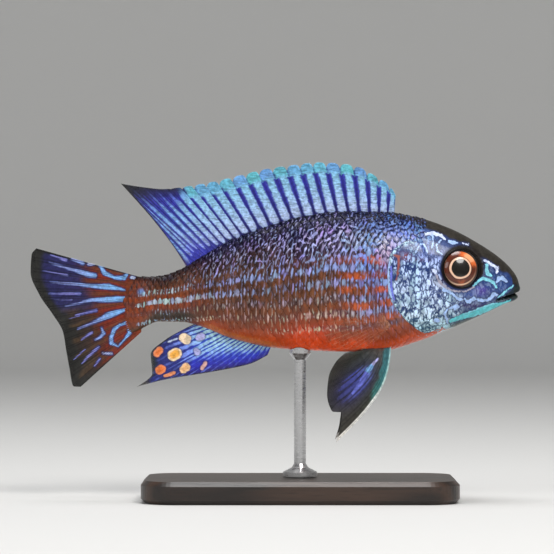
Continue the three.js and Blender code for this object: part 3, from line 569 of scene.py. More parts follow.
def flank_ground(behind, above):
    """Dark back, rusty flank, red belly; bluer at the nape, olive below on the tail stalk."""
    share = height_share(behind, above) + 0.05 * ripple(behind, above, 9, 3)
    # The belly's red is its own colour; in the trunk's tones its lowest stops are also painted lighter,
    # painted light that stands in for the little light reaching the downward-facing belly
    trunk = tone_ramp(share, [
        (-1, "f85a24"), (-0.9, "f4521e"), (-0.74, "d8481a"), (-0.6, "a84018"), (-0.45, "80401c"),
        (-0.2, "6c4020"), (0.1, "5e3c24"), (0.28, "4a302e"), (0.5, "302440"), (0.78, "201c42"),
        (1, "131228")])
    rear = tone_ramp(share, [
        (-1, "d0561e"), (-0.85, "ac4820"), (-0.7, "803a1c"), (-0.45, "6c3a1e"), (-0.1, "5e3a22"),
        (0.3, "4c3428"), (0.6, "3e2a2c"), (0.85, "2a2040"), (1, "1a1838")])
    nape = tone_ramp(share, [
        (-1, "d85428"), (-0.74, "b44a20"), (-0.55, "8a3e22"), (-0.3, "5c3448"), (-0.1, "42387a"),
        (0.3, "2a3880"), (0.6, "203070"), (0.85, "141c48"), (1, "111124")])
    stalk = tone_ramp(share, [
        (-1, "583c28"), (-0.82, "443832"), (-0.66, "3e3e36"), (-0.5, "743214"), (-0.3, "8c3c16"),
        (0.1, "743a1c"), (0.4, "60341e"), (0.75, "4c2e24"), (1, "302424")])
    tone = blend_tones(trunk, rear, step(56, 70, behind))
    tone = blend_tones(tone, stalk, step(80, 90, behind))
    tone = layered(tone, ("803818", step(97, 103, behind) * step(1, 0.7, np.abs(share))))
    tone = blend_tones(tone, nape, step(43, 33, behind + 1.5 * share))
    tan_line = step(62, 68, behind) * step(86, 82, behind) * step(1.9, 1.1, above - belly_at(behind))
    fin_base = bell(behind, 32.4, 2) * bell(above, -7.8, 1.6)
    tone = layered(tone, ("c07038", 0.75 * tan_line), ("d8a488", 0.9 * fin_base))
    for spot, tall, code in (((100.9, -0.5), 0.85, "6a8cc8"), ((37.6, -6.7), 0.9, "6c78cc")):
        off = ((behind - spot[0]) / (1.2 * tall)) ** 2 + ((above - spot[1]) / tall) ** 2
        tone = layered(tone, (code, np.exp(-(off**2))))
    brown = step(-0.95, -0.75, share) * step(-0.35, -0.5, share) * step(56, 46, behind)
    tone = layered(tone, ("7c3418", 0.75 * brown))
    bars = 0.5 + 0.5 * np.sin((behind + 1.5 * ripple(behind, above, 14, 5)) * 2 * np.pi / 11.5)
    shade = 1 - 0.25 * bars * step(-0.8, -0.45, share) * step(48, 56, behind)
    return tone * shade[..., None]


# Soft ovals on the head: middle behind and above, half lengths, tone, strength
HEAD_PATCHES = [
    (12.5, -0.4, 4.6, 1.6, "3c58a4", 0.7), (6, 1.2, 3, 2.4, "244a90", 0.8),
    (10.4, -0.2, 2.0, 1.3, "4c2f98", 0.8), (12.6, -4.1, 4.4, 0.75, "2f1f5c", 0.9),
    (21.4, 2.4, 2.4, 1.5, "3c2a40", 0.8),
    (31, 8.9, 1.7, 0.9, "8a3f3a", 0.8), (27.5, 8, 3.4, 0.5, "5c3048", 0.5),
]


def head_ground(behind, above):
    """Indigo cheeks, teal below, charcoal along the forehead, round the eye and on the chin."""
    tone = np.broadcast_to(linear("223a74"), (*np.shape(behind), 3))
    tone = layered(tone, ("1a4a6a", step(-3.5, -9.5, above)))
    for at, height, wide, high, code, share in HEAD_PATCHES:
        tone = layered(tone, (code, share * bell(behind, at, wide) * bell(above, height, high)))
    line = forehead_at(behind)
    eye = np.hypot(behind - EYE_BEHIND + 0.5, above - EYE_ABOVE - 0.6)
    rim = np.hypot(behind - EYE_BEHIND, above - EYE_ABOVE)
    lip = step(0, 0.5, 2.3 - 0.79 * behind - above) * step(6.8, 5.6, behind)
    chin = belly_at(behind) - above + 1.5
    return layered(
        tone, ("33302c", step(-0.35, 0.5, above - line + 0.35 * ripple(behind, above, 3, 7))),
        ("2a2624", step(6.5, 5.4, eye)), ("161313", step(5.7, 5.2, rim)),
        ("26302f", 0.9 * lip * step(-4.6, -3.8, above)),
        ("38443e", 0.9 * step(0, 0.9, chin) * step(24, 17, behind)))


def body_ground(behind, above):
    """The head's ground ahead of the gill opening, the flank's behind it."""
    head = head_ground(behind, above)
    cover = inside_by(behind, above, COVER_OUTLINE)
    nape = step(26, 32, behind - 0.35 * np.maximum(above - 9, 0))
    rear = np.where(above > 11.5, nape, step(28, 29, behind))
    throat = step(17.5, 20.5, behind) * step(0, 0.8, -9.4 - above + 0.1 * (behind - 22))
    flank = np.clip(np.maximum(rear, throat) - step(-0.25, 0.05, cover), 0, 1)
    return blend_tones(head, flank_ground(behind, above), flank)


def head_net(behind, above):
    """How strongly the cheek and gill cover carry the pale maze."""
    start = 17.2 + 0.3 * np.clip(above - 2, 0, 12)
    cheek = step(-0.4, 1.8, behind - start) * step(38, 35.5, behind) * step(-12.6, -11.4, above)
    low = step(14, 17, behind) * step(-0.4, -1.8, above) * step(-9, -7.4, above)
    line = forehead_at(behind)
    eye = np.hypot(behind - EYE_BEHIND, above - EYE_ABOVE)
    front = 0.2 * step(2.5, 5, behind) * step(-6.5, -5, above)
    full = np.maximum(np.maximum(cheek, 0.8 * low), front) * mix(1, 0.78, step(7, 10, above))
    return full * step(0.0, 1.2, line - above) * step(5.6, 6.4, eye) * step(38, 35.5, behind)


def strokes(behind, above, marks):
    """The largest of (half width - distance) over tapering strokes, and the tone of that stroke."""
    depth = np.full(np.shape(behind), -9.0)
    tone = np.zeros((*np.shape(behind), 3))
    for name, *_, points in marks:
        for start, end in zip(points[:-1], points[1:]):
            share, apart = nearest_on(behind, above, start, end)
            inside = mix(start[2], end[2], share) - apart
            closer = inside > depth
            depth = np.where(closer, inside, depth)
            tone = np.where(closer[..., None], linear(TONES[name]), tone)
    return depth, tone


# Meshes
def grid_quads(rows, columns, wrap=False):
    """Four corners for each cell of a grid stored row by row, joined round its columns if wrap."""
    r, c = np.meshgrid(np.arange(rows - 1), np.arange(columns if wrap else columns - 1), indexing="ij")
    after = (c + 1) % columns
    return np.stack([r * columns + c, r * columns + after, (r + 1) * columns + after,
                     (r + 1) * columns + c], -1).reshape(-1, 4)


def end_fans(rings, around):
    """Triangles that close the first and last ring of a grid to the two points stored after it."""
    index = np.arange(around)
    after, last, poles = (index + 1) % around, (rings - 1) * around, rings * around
    return np.concatenate([np.stack([np.full(around, poles), after, index], 1),
                           np.stack([np.full(around, poles + 1), last + index, last + after], 1)])


def signed_volume(points, quads, triangles):
    """A sixth of the sum of a . (b x c) over all triangles."""
    split = [quads[:, [0, 1, 2]], quads[:, [0, 2, 3]]] if len(quads) else []
    corners = points[np.concatenate(split + ([triangles] if len(triangles) else []))]
    return np.einsum("ij,ij->i", corners[:, 0], np.cross(corners[:, 1], corners[:, 2])).sum() / 6


def make_piece(name, points, quads, triangles=(), stands_for=(), material=None):
    """A mesh in metres from points in millimetres, its faces outwards, riding on the fish."""
    quads = np.asarray(quads, np.int32).reshape(-1, 4)
    triangles = np.asarray(triangles, np.int32).reshape(-1, 3)
    centred = points - points.mean(0)
    if signed_volume(centred, quads, triangles) < 0:
        quads, triangles = quads[:, ::-1], triangles[:, ::-1]
    mesh = bpy.data.meshes.new(name)
    mesh.vertices.add(len(points))
    mesh.vertices.foreach_set("co", (points * MM).astype(np.float32).ravel())
    mesh.loops.add(quads.size + triangles.size)
    mesh.loops.foreach_set("vertex_index", np.concatenate([quads.ravel(), triangles.ravel()]))
    mesh.polygons.add(len(quads) + len(triangles))
    starts = np.concatenate([np.arange(len(quads)) * 4, quads.size + np.arange(len(triangles)) * 3])
    mesh.polygons.foreach_set("loop_start", starts.astype(np.int32))
    mesh.update(calc_edges=True)
    mesh.validate()
    mesh.shade_smooth()
    piece = bpy.data.objects.new(name, mesh)
    bpy.context.scene.collection.objects.link(piece)
    if material:
        mesh.materials.append(material)
    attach(piece, "root")
    if stands_for:
        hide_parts(*stands_for)
    return piece


def paint(piece, **values):
    """Stores a number or a colour at each point for the material to read."""
    for name, value in values.items():
        value = np.asarray(value, np.float32)
        if value.ndim == 1:
            stored = piece.data.attributes.new(name, "FLOAT", "POINT")
            stored.data.foreach_set("value", value)
        else:
            stored = piece.data.attributes.new(name, "FLOAT_COLOR", "POINT")
            full = np.concatenate([value, np.ones((len(value), 1), np.float32)], 1)
            stored.data.foreach_set("color", full.ravel())


def bake_map(piece, places):
    """The UV map that a baked texture uses, from one (u, v) place for each point."""
    layer = piece.data.uv_layers.new(name="OFBake")
    corners = np.zeros(len(piece.data.loops), np.int32)
    piece.data.loops.foreach_get("vertex_index", corners)
    layer.data.foreach_set("uv", np.asarray(places, np.float32)[corners].ravel())


class Finish:
    """A material built node by node. Inputs may be plain values or sockets of earlier nodes."""

    def __init__(self, name):
        self.material = bpy.data.materials.new(name)
        self.material.use_nodes = True
        self.tree = self.material.node_tree
        self.surface = self.tree.nodes["Principled BSDF"]

    def node(self, kind, output=0, settings=None, **inputs):
        """Adds a node, sets its inputs by name or, as i0, i1, by number, and gives one output."""
        made = self.tree.nodes.new("ShaderNode" + kind)
        for key, value in (settings or {}).items():
            setattr(made, key, value)
        for key, value in inputs.items():
            self.set(made, int(key[1:]) if key[1:].isdigit() else key.replace("_", " "), value)
        return made.outputs[output]

    def set(self, node, key, value):
        """Links a socket, or sets a plain value."""
        if isinstance(value, bpy.types.NodeSocket):
            self.tree.links.new(value, node.inputs[key])
        else:
            node.inputs[key].default_value = value

    def shade(self, **inputs):
        """Sets inputs of the surface."""
        for key, value in inputs.items():
            self.set(self.surface, key.replace("_", " "), value)

    def stored(self, name, output="Fac"):
        """A value painted on the mesh."""
        return self.node("Attribute", output, {"attribute_name": name})

    def maths(self, operation, a, b=0.0, c=0.0):
        """One Math node on up to three values."""
        return self.node("Math", 0, {"operation": operation}, i0=a, i1=b, i2=c)

    def plus(self, a, b):
        return self.maths("ADD", a, b)

    def minus(self, a, b):
        return self.maths("SUBTRACT", a, b)

    def times(self, a, b):
        return self.maths("MULTIPLY", a, b)

    def scaled(self, value, by, more):
        """value * by + more"""
        return self.maths("MULTIPLY_ADD", value, by, more)

    def ease(self, low, high, value, start=0.0, end=1.0):
        """From start to end, smoothly, as the value goes from low to high."""
        return self.node("MapRange", 0, {"interpolation_type": "SMOOTHSTEP"},
                         i0=value, i1=low, i2=high, i3=start, i4=end)

    def mixed(self, share, a, b, way="MIX"):
        """A mix of two colours by a share."""
        return self.node("Mix", 2, {"data_type": "RGBA", "blend_type": way}, i0=share, i6=a, i7=b)

    def shaded(self, name, shade):
        """A stored tone, darker or lighter by a shade."""
        return self.mixed(1.0, self.stored(name, "Color"), shade, "MULTIPLY")

    def places(self, stretch=(1, 1, 1), turn=(0, 0, 0)):
        """Object coordinates, turned and stretched."""
        coordinates = self.node("TexCoord", "Object")
        return self.node("Mapping", 0, None, Vector=coordinates, Scale=stretch, Rotation=turn)

    def stirred(self, places, scale, far):
        """Places pushed about by a noise, so that a pattern on them wobbles."""
        push = self.noise(scale, 2, 0.5, places, "Color")
        return self.node("VectorMath", 0, {"operation": "MULTIPLY_ADD"}, i0=push, i1=(far,) * 3, i2=places)

    def noise(self, scale, detail=2.0, rough=0.5, places=None, output="Fac"):
        """A soft noise about 0.5, with a scale in cells a metre."""
        return self.node("TexNoise", output, None, Vector=places or self.places(),
                         Scale=scale, Detail=detail, Roughness=rough)

    def cells(self, scale, places):
        """The distance to the nearest border of random cells."""
        return self.node("TexVoronoi", "Distance", {"feature": "DISTANCE_TO_EDGE"},
                         Vector=places, Scale=scale)

    def worms(self, wavelength, places, spread):
        """Even, wandering ridges from -1 to 1: the sine of a Gabor noise's phase."""
        phase = self.node("TexGabor", "Phase", {"gabor_type": "3D"}, Vector=places,
                          Scale=1 / (2 * wavelength * MM), Frequency=2.0, Anisotropy=spread, i5=ALONG_Z)
        return self.maths("SINE", self.times(phase, 2 * np.pi))

    def bump(self, height, distance, strength=1.0):
        """A normal tilted by the slope of a height, in metres when it is 1."""
        return self.node("Bump", 0, None, Height=height, Distance=distance, Strength=strength)


def wet(finish, roughness=0.34, coat=WET_COAT, coat_roughness=0.1):
    """A soft gloss under a thin clear coat of water."""
    finish.shade(Roughness=roughness, Specular_IOR_Level=WET_SPECULAR, Coat_Weight=coat,
                 Coat_Roughness=coat_roughness)


def dulled(finish):
    """The gloss of the wet skin, less where the stored share of it is small."""
    gloss = finish.stored("gloss")
    wet(finish, coat=finish.times(gloss, WET_COAT))
    finish.shade(Specular_IOR_Level=finish.times(gloss, WET_SPECULAR))


def skin_finish():
    """Ground tone, a cracked maze of pale cells on cheeks and gill covers, and the face's own marks."""
    finish = Finish("cichlid_skin")
    places = finish.places()
    upright = finish.places((1, 1, 0.7), UPRIGHT)
    maze = finish.worms(1.15, upright, 0.35)
    fine = finish.worms(0.6, upright, 0.3)
    maze = finish.scaled(fine, 0.7, maze)
    patches = finish.scaled(finish.noise(300, 3, 0.6), 4.6, -1.8)
    cell = finish.ease(-0.9, 0.6, finish.plus(maze, patches))
    stirred = finish.stirred(finish.places((1.3, 1, 0.7)), 1100, 0.0013)
    cracks = finish.ease(0.02, 0.13, finish.cells(520, stirred), 0.1, 1)
    net = finish.times(finish.times(cell, cracks), finish.stored("net"))
    sheen = finish.ease(0.35, 0.65, finish.noise(480, 3, 0.6, finish.places((1.2, 1, 0.7))), 0.55, 1.55)
    grain = finish.ease(0.25, 0.75, finish.noise(900, 3, 0.6), 0.7, 1.25)
    ground = finish.shaded("ground", grain)
    light = finish.shaded("light", sheen)
    cyan = finish.ease(0.42, 0.66, finish.noise(200, 3, 0.5, finish.places((1, 1, 0.7)), "Color"), 0.0, 0.5)
    light = finish.mixed(cyan, light, rgba("a0d6e6"))
    netted = finish.mixed(net, ground, light)
    ragged = finish.scaled(finish.noise(1300, 3, 0.6), 1.0, -0.5)
    inside = finish.plus(finish.stored("mark"), ragged)
    mark_tone = finish.shaded("mark_tone", grain)
    halo = finish.times(finish.ease(-0.6, -0.1, inside), 0.55)
    ringed = finish.mixed(halo, netted, rgba("1c2450"))
    marked = finish.mixed(finish.ease(-0.12, 0.08, inside), ringed, mark_tone)
    pores = finish.cells(1500, places)
    height = finish.scaled(net, 0.6, finish.ease(0.0, 0.3, pores, 0.0, 0.25))
    dulled(finish)
    finish.shade(Base_Color=marked, Normal=finish.bump(height, 0.00006, 0.7))
    return finish.material


def scale_finish():
    """Rows of pale blocks made of upright lines, a pale maze on the back, and a dark free edge."""
    finish = Finish("cichlid_scales")
    along, strength = finish.stored("along"), finish.stored("strength")
    upright = finish.places((1, 1, 0.3), UPRIGHT)
    lines = finish.scaled(finish.worms(0.72, upright, 0.6), 0.32, 0.36)
    wander = finish.scaled(finish.noise(700, 2), 0.3, finish.minus(along, 0.87))
    lines = finish.plus(lines, finish.ease(0.13, 0.04, finish.maths("ABSOLUTE", wander), 0, 0.5))
    ragged = finish.scaled(finish.noise(900, 3, 0.6, finish.places((1.5, 1, 0.5))), 0.9, -0.45)
    band = finish.ease(-0.24, 0.26, finish.plus(finish.stored("band"), ragged))
    between = finish.stored("between")
    strength = finish.mixed(band, between, strength)
    block = finish.scaled(lines, 0.6, finish.times(strength, 0.6))
    block = finish.ease(0.58, 1.16, block)
    leaning = finish.places((1, 1, 0.5), LEANING)
    maze = finish.worms(0.98, leaning, 0.5)
    patches = finish.scaled(finish.noise(420, 3, 0.6), 2.6, -1.3)
    fleck = finish.plus(finish.minus(maze, finish.stored("sparse")), patches)
    fleck = finish.times(finish.ease(-0.35, 0.5, fleck), finish.stored("maze"))
    pale = finish.maths("MAXIMUM", block, fleck)
    streaks = finish.ease(0.3, 0.7, finish.noise(1100, 3, 0.6, finish.places((1.6, 1, 0.3))), 0.55, 1.35)
    sheen = finish.ease(0.3, 0.7, finish.noise(800, 3, 0.6, finish.places((1.3, 1, 0.5))), 0.68, 1.25)
    rough = finish.ease(0.05, 0.3, finish.stored("rim"), 0.2, 1.0)
    streaks = finish.scaled(finish.minus(streaks, 1.0), rough, 1.0)
    ground = finish.shaded("ground", streaks)
    blotch = finish.times(finish.ease(0.48, 0.68, finish.noise(300, 3, 0.6)), finish.stored("rim"))
    ground = finish.mixed(blotch, ground, rgba("302c38"))
    light = finish.shaded("light", sheen)
    shadow = finish.mixed(1.0, ground, rgba("6c6468"), "MULTIPLY")
    rim = finish.times(finish.ease(0.8, 0.97, along), finish.stored("rim"))
    tone = finish.mixed(finish.times(pale, finish.scaled(rim, -0.9, 1.0)),
                        finish.mixed(rim, ground, shadow), light)
    ridges = finish.node("TexWave", "Fac", {"wave_type": "BANDS", "bands_direction": "X"},
                         Vector=finish.places(), Scale=900.0, Distortion=2.0, Detail=1.0)
    dulled(finish)
    finish.shade(Base_Color=tone, Normal=finish.bump(ridges, 0.00002, 0.5))
    return finish.material


def fin_finish(name, rungs=0.0):
    """Pale strips between dark lines that follow the rays, ragged by noise, under its own marks."""
    finish = Finish(name)
    off = finish.stored("off")
    wander = finish.scaled(finish.noise(420, 3, 0.6), 0.44, -0.22)
    strip = finish.minus(finish.stored("strip"), finish.plus(off, wander))
    strip = finish.scaled(finish.noise(1500, 2, 0.6, finish.places((0.4, 1, 1.4))), 0.3,
                         finish.minus(strip, 0.15))
    pale = finish.times(finish.ease(-0.16, 0.14, strip), finish.stored("amount"))
    fibres = finish.ease(0.3, 0.7, finish.noise(1100, 3, 0.6), 0.7, 1.22)
    lines = finish.ease(0.0, 1.0, finish.stored("line"), 1.0, 0.45)
    toned = finish.times(fibres, lines)
    if rungs:
        across = finish.noise(1500, 2, 0.5, finish.places((0.28, 0.28, 1.5)))
        toned = finish.times(toned, finish.ease(0.5, 0.6, across, 1.0, 1 - rungs))
    ground = finish.shaded("ground", finish.times(fibres, lines))
    light = finish.shaded("light", toned)
    tone = finish.mixed(pale, ground, light)
    ragged = finish.noise(900, 3, 0.6, finish.places((0.5, 1, 1.3)))
    spot = finish.plus(finish.stored("spot"), finish.scaled(ragged, 0.8, -0.4))
    halo = finish.times(finish.ease(-0.5, -0.08, spot), finish.stored("halo"))
    tone = finish.mixed(halo, tone, rgba("1b1c4a"))
    spot_tone = finish.shaded("spot_tone", toned)
    tone = finish.mixed(finish.ease(-0.18, 0.16, spot), tone, spot_tone)
    wet(finish, 0.4, 0.25)
    finish.shade(Base_Color=tone, Alpha=finish.stored("solid"),
                 Normal=finish.bump(finish.noise(2200, 2), 0.00003, 0.5))
    return finish.material


def eye_finish():
    """Dark pupil, thin cream ring, orange iris that is brightest above and ahead, dark rim."""
    finish = Finish("cichlid_eye")
    out, bright = finish.stored("out"), finish.stored("bright")
    fibres = finish.scaled(finish.noise(900, 3, 0.7), 0.6, -0.3)
    glow = finish.plus(bright, fibres)
    iris = finish.mixed(finish.ease(0.3, 0.75, glow), rgba("5a2614"), rgba("d9662c"))
    iris = finish.mixed(finish.ease(0.75, 1.05, glow), iris, rgba("f4a878"))
    iris = finish.mixed(finish.ease(3.5, 3.0, out, 0.0, 0.6), iris, rgba("3a1a10"))
    wobble = finish.scaled(finish.noise(260, 1), 0.8, finish.plus(out, -0.4))
    ring = finish.mixed(finish.ease(2.98, 2.86, wobble), iris, rgba("eec4a8"))
    pupil = finish.mixed(finish.ease(2.5, 2.38, wobble), ring, rgba("14110c"))
    crescent = finish.times(finish.stored("below"), finish.ease(0.24, 0.1, finish.maths(
        "ABSOLUTE", finish.minus(out, 4.3))))
    lined = finish.mixed(crescent, pupil, rgba("e0bc9c"))
    tone = finish.mixed(finish.ease(4.5, 4.8, out), lined, rgba("15120f"))
    finish.shade(Base_Color=tone, Roughness=0.25, Specular_IOR_Level=0.2, Coat_Weight=0.7,
                 Coat_Roughness=0.03)
    return finish.material


def wood_finish(look):
    """Dark stained wood: long rings from a stretched wave, with pores along the grain."""
    finish = Finish("stand_walnut")
    grain_places = finish.places((0.16, 1.0, 1.0))
    rings = finish.node("TexWave", "Fac", {"wave_type": "BANDS", "bands_direction": "Y"},
                        Vector=grain_places, Scale=55.0, Distortion=7.0, Detail=3.0, Detail_Scale=1.4)
    pores = finish.ease(0.5, 0.66, finish.noise(1500, 3, 0.7, finish.places((0.05, 1, 1))))
    tone = finish.mixed(rings, (*look.wood_dark, 1), (*look.wood_light, 1))
    tone = finish.mixed(finish.times(pores, 0.5), tone, (*(np.array(look.wood_dark) * 0.4), 1))
    finish.shade(Base_Color=tone, Roughness=look.wood_roughness, Coat_Weight=0.2, Coat_Roughness=0.25,
                 Normal=finish.bump(pores, 0.00004, 0.4))
    return finish.material


def steel_finish(look):
    """Brushed steel: fine scratches round the rod."""
    finish = Finish("stand_steel")
    scratches = finish.noise(1200, 3, 0.6, finish.places((0.3, 0.3, 3.0)))
    rough = finish.ease(0.3, 0.7, scratches, 0.22, 0.42)
    finish.shade(Base_Color=(*look.steel, 1), Metallic=1.0, Roughness=rough,
                 Normal=finish.bump(scratches, 0.00002, 0.4))
    return finish.material


# Settings
class BodySettings(bpy.types.PropertyGroup):
    """Grids and depths of the skin and its scales"""

    skin_rings: IntProperty(name="Skin rings", description="Rings from snout to tail", default=316)
    skin_points: IntProperty(name="Skin points", description="Points round a ring", default=292)
    coat_depth: FloatProperty(
        name="Coat depth", description="How far the skin lies under the scales (mm)", default=0.16)
    scale_pitch: FloatProperty(
        name="Scale pitch", description="Step from scale to scale on the flank (mm)", default=2.3)
    row_pitch: FloatProperty(
        name="Row pitch", description="Step from row to row on the flank (mm)", default=2.05)
    scale_lift: FloatProperty(
        name="Scale lift", description="How high a scale's free edge stands (mm)", default=0.2)
    seed: IntProperty(name="Seed", description="Seed of the scales' variation", default=11)


class StandSettings(bpy.types.PropertyGroup):
    """Finish of the stand"""

    wood_dark: FloatVectorProperty(
        name="Dark grain", description="Dark grain of the base", subtype="COLOR",
        default=(0.012, 0.007, 0.005))
    wood_light: FloatVectorProperty(
        name="Light grain", description="Light grain of the base", subtype="COLOR",
        default=(0.05, 0.026, 0.016))
    wood_roughness: FloatProperty(name="Roughness", description="Of the wood", default=0.38)
    steel: FloatVectorProperty(
        name="Steel", description="Colour of the rod", subtype="COLOR", default=(0.62, 0.62, 0.63))


class StageSettings(bpy.types.PropertyGroup):
    """Camera, floor and lights"""

    view_width: FloatProperty(
        name="View width", description="Width of the view at the fish (mm)", default=147.9)
    view_x: FloatProperty(name="View X", description="Middle of the view along X (mm)", default=-6.14)
    view_z: FloatProperty(name="View Z", description="Height of the camera (mm)", default=59.5)
    distance: FloatProperty(name="Distance", description="Camera to fish (mm)", default=900.0)
    floor_tone: FloatProperty(name="Floor tone", description="Brightness of the floor", default=0.66)
    key_power: FloatProperty(name="Key light", description="Power of the key light (W)", default=4.2)
    room_share: FloatProperty(
        name="Room light", description="Power of the room light, against the key", default=4.8)
    air: FloatProperty(name="Air light", description="Brightness of the studio air", default=0.16)


def body_settings():
    """The settings of the skin and its scales."""
    return bpy.context.scene.cichlid_body


# Pieces
def ring_places(count):
    """Rings sit close together on the head, and near the snout their distance grows with the square."""
    behind = np.linspace(0, 1, 6000) ** 2 * (STANDARD_LENGTH + TAIL_TAPER)
    closeness = 1 + HEAD_RINGS * step(42, 34, behind)
    steps = np.diff(behind) * (closeness[1:] + closeness[:-1]) / 2
    travelled = np.concatenate([[0], np.cumsum(steps)]) + SNOUT_RINGS * np.sqrt(np.minimum(behind, 3))
    return np.interp(np.linspace(0, travelled[-1], count + 1)[1:], travelled, behind)


def orbit_ring(side, rows=150, columns=14):
    """A closed roll of skin round the eye: oval sections whose middles lie just under the skin."""
    turn, section = np.meshgrid(
        np.linspace(0, 2 * np.pi, rows, endpoint=False),
        np.linspace(0, 2 * np.pi, columns, endpoint=False), indexing="ij")
    axis, ahead, up = eye_frame(side)
    across = ORBIT_RADIUS + ORBIT_ROLL[0] * np.cos(section)
    points = (eye_surface(side) - side * (across * np.cos(turn))[..., None] * ahead
              + (across * np.sin(turn))[..., None] * up)
    for _ in range(6):
        out = skin_reach(SNOUT_X - points[..., 0], points[..., 2] - LEVEL)
        points += ((out - side * points[..., 1]) / abs(axis[1]))[..., None] * axis
    points += (ORBIT_ROLL[1] * (np.sin(section) - 0.45))[..., None] * axis
    points = points.reshape(-1, 3)
    quads = grid_quads(rows + 1, columns, True) % (rows * columns)
    if signed_volume(points - points.mean(0), quads, ()) < 0:
        quads = quads[:, ::-1]
    return points, quads


class CICHLID_OT_skin(bpy.types.Operator):
    """Build the skin of head and body, with lips, orbits, nostrils and gill covers"""

    bl_idname = "cichlid.skin"
    bl_label = "Skin"

    def execute(self, context):
        sizes = body_settings()
        rings, around = sizes.skin_rings, sizes.skin_points
        behind, turning = np.meshgrid(
            ring_places(rings), np.linspace(0, 2 * np.pi, around, endpoint=False), indexing="ij")
        side = np.where(turning <= np.pi, 1, -1)
        turn = np.where(side > 0, turning, 2 * np.pi - turning)
        behind, turn, side = behind.ravel(), turn.ravel(), side.ravel()
        base = skin_point(behind, turn, side)
        normals = skin_normal(behind, turn, side)
        above = base[:, 2] - LEVEL
        lift = head_relief(base, behind, above, side).reshape(rings, around)
        on_lips = step(8, 6, behind).reshape(rings, around)
        lift = mix(softened(lift, 1), softened(lift, 4), on_lips).ravel()
        cover = inside_by(behind, above, COVER_OUTLINE)
        under_scales = step(27, 30, behind) * step(0.3, 0.9, -cover)
        lift -= sizes.coat_depth * under_scales
        points = base + normals * lift[:, None]
        tip = points[:around].mean(0, keepdims=True)
        end = points[-around:].mean(0, keepdims=True)
        points = np.concatenate([points, tip, end])
        quads, fans = grid_quads(rings, around, True), end_fans(rings, around)
        if signed_volume(points - points.mean(0), quads, fans) < 0:
            quads, fans = quads[:, ::-1], fans[:, ::-1]
        behind, above = np.append(behind, [0, STANDARD_LENGTH + TAIL_TAPER]), np.append(above, [0.8, -4])
        for way in (-1, 1):
            ring, ring_quads = orbit_ring(way)
            quads = np.concatenate([quads, ring_quads + len(points)])
            points = np.concatenate([points, ring])
            behind, above = np.append(behind, SNOUT_X - ring[:, 0]), np.append(above, ring[:, 2] - LEVEL)
        skin = make_piece(
            "fish_skin", swayed(points), quads, fans,
            ("head", "lower_jaw", "gill_cover_left", "gill_cover_right", "trunk", "tail_stalk"),
            skin_finish())
        mark, mark_tone = strokes(behind, above, FACE_MARKS)
        # Painted shade: a near-black line along the mouth's slit between the lips, where the crease lies in
        # shade; the face's marks are kept out of it
        mouth_slit_shade = step(7, 5.6, behind) * bell(above, mouth_line(behind), 0.42)
        ground = blend_tones(body_ground(behind, above), linear("0c0b10"), mouth_slit_shade)
        light = tone_ramp(above, [(-11, "a4d2e0"), (-7, "c6def2"), (-3, "c4d8f8"), (2, "c0d2f8"),
                                  (7, "a8bcec"), (10, "7484c4"), (14, "6480c0")])
        edge = inside_by(behind, above, COVER_OUTLINE)
        light = blend_tones(light, linear("c4e4f4"), step(1.4, 0.5, edge) * step(27, 29, behind))
        # Under the scales the skin carries their rows
        under = step(30, 34, behind) * step(0.3, 0.9, -edge)
        turn = np.append(turn, np.zeros(len(behind) - len(turn)))
        lane = lane_at(behind, height_on(behind, turn), sizes.row_pitch)
        share = height_share(behind, above)
        inside, strength = pale_rows(lane, behind)
        rows = strength * step(-0.24, 0.26, inside) * step(102, 100.8, behind)
        ground = blend_tones(ground, orange_rows(lane, behind, share, ground), under)
        light = blend_tones(light, pale_tone(behind, share), under)
        paint(skin, ground=ground, light=light, net=mix(head_net(behind, above), 0.8 * rows, under),
              gloss=dark_is_dull(ground), mark=mark - 2 * mouth_slit_shade, mark_tone=mark_tone)
        return {"FINISHED"}


def arc_table():
    """For a set of rings, the distance along the skin from half height, upwards positive."""
    behind = np.linspace(20, STANDARD_LENGTH + TAIL_TAPER, 240)
    turn = np.linspace(0, np.pi, 181)
    grid_behind, grid_turn = np.meshgrid(behind, turn, indexing="ij")
    points = skin_point(grid_behind, grid_turn, 1)
    lengths = np.linalg.norm(np.diff(points, axis=1), axis=-1)
    travelled = np.concatenate([np.zeros((len(behind), 1)), np.cumsum(lengths, 1)], 1)
    middle = LEVEL + (back_at(behind) + belly_at(behind)) / 2
    half_way = np.array([np.interp(-m, -p, t) for m, p, t in zip(middle, points[..., 2], travelled)])
    return behind, turn, half_way[:, None] - travelled


ARC_BEHIND, ARC_TURN, ARC_HEIGHT = arc_table()


def table_place(value, entries):
    """The table's entry at or before a value, and the share of the way to the next entry."""
    place = np.clip(np.interp(value, entries, np.arange(len(entries))), 0, len(entries) - 1.001)
    low = place.astype(int)
    return low, place - low


def turn_at(behind, height):
    """The turn at which the skin lies a given distance above half height, from the arc table."""
    shape = np.shape(height)
    low, share, height = (
        np.broadcast_to(value, shape).ravel() for value in (*table_place(behind, ARC_BEHIND), height))
    found = np.empty(height.size)
    for ring in np.unique(low):
        here = low == ring
        turns = [np.interp(-height[here], -ARC_HEIGHT[r], ARC_TURN) for r in (ring, ring + 1)]
        found[here] = mix(*turns, share[here])
    return found.reshape(shape)


def height_on(behind, turn):
    """The distance of a place on the skin from half height, upwards positive, from the arc table."""
    (ring, ring_share), (place, place_share) = table_place(behind, ARC_BEHIND), table_place(turn, ARC_TURN)
    ahead, after = (
        mix(ARC_HEIGHT[r, place], ARC_HEIGHT[r, place + 1], place_share) for r in (ring, ring + 1))
    return mix(ahead, after, ring_share)


def size_share(behind):
    """Scales are full size on the flank and smaller at the nape and towards the tail."""
    return np.interp(behind, [24, 30, 42, 60, 78, 92, 104], [0.66, 0.78, 1, 0.98, 0.78, 0.7, 0.6])


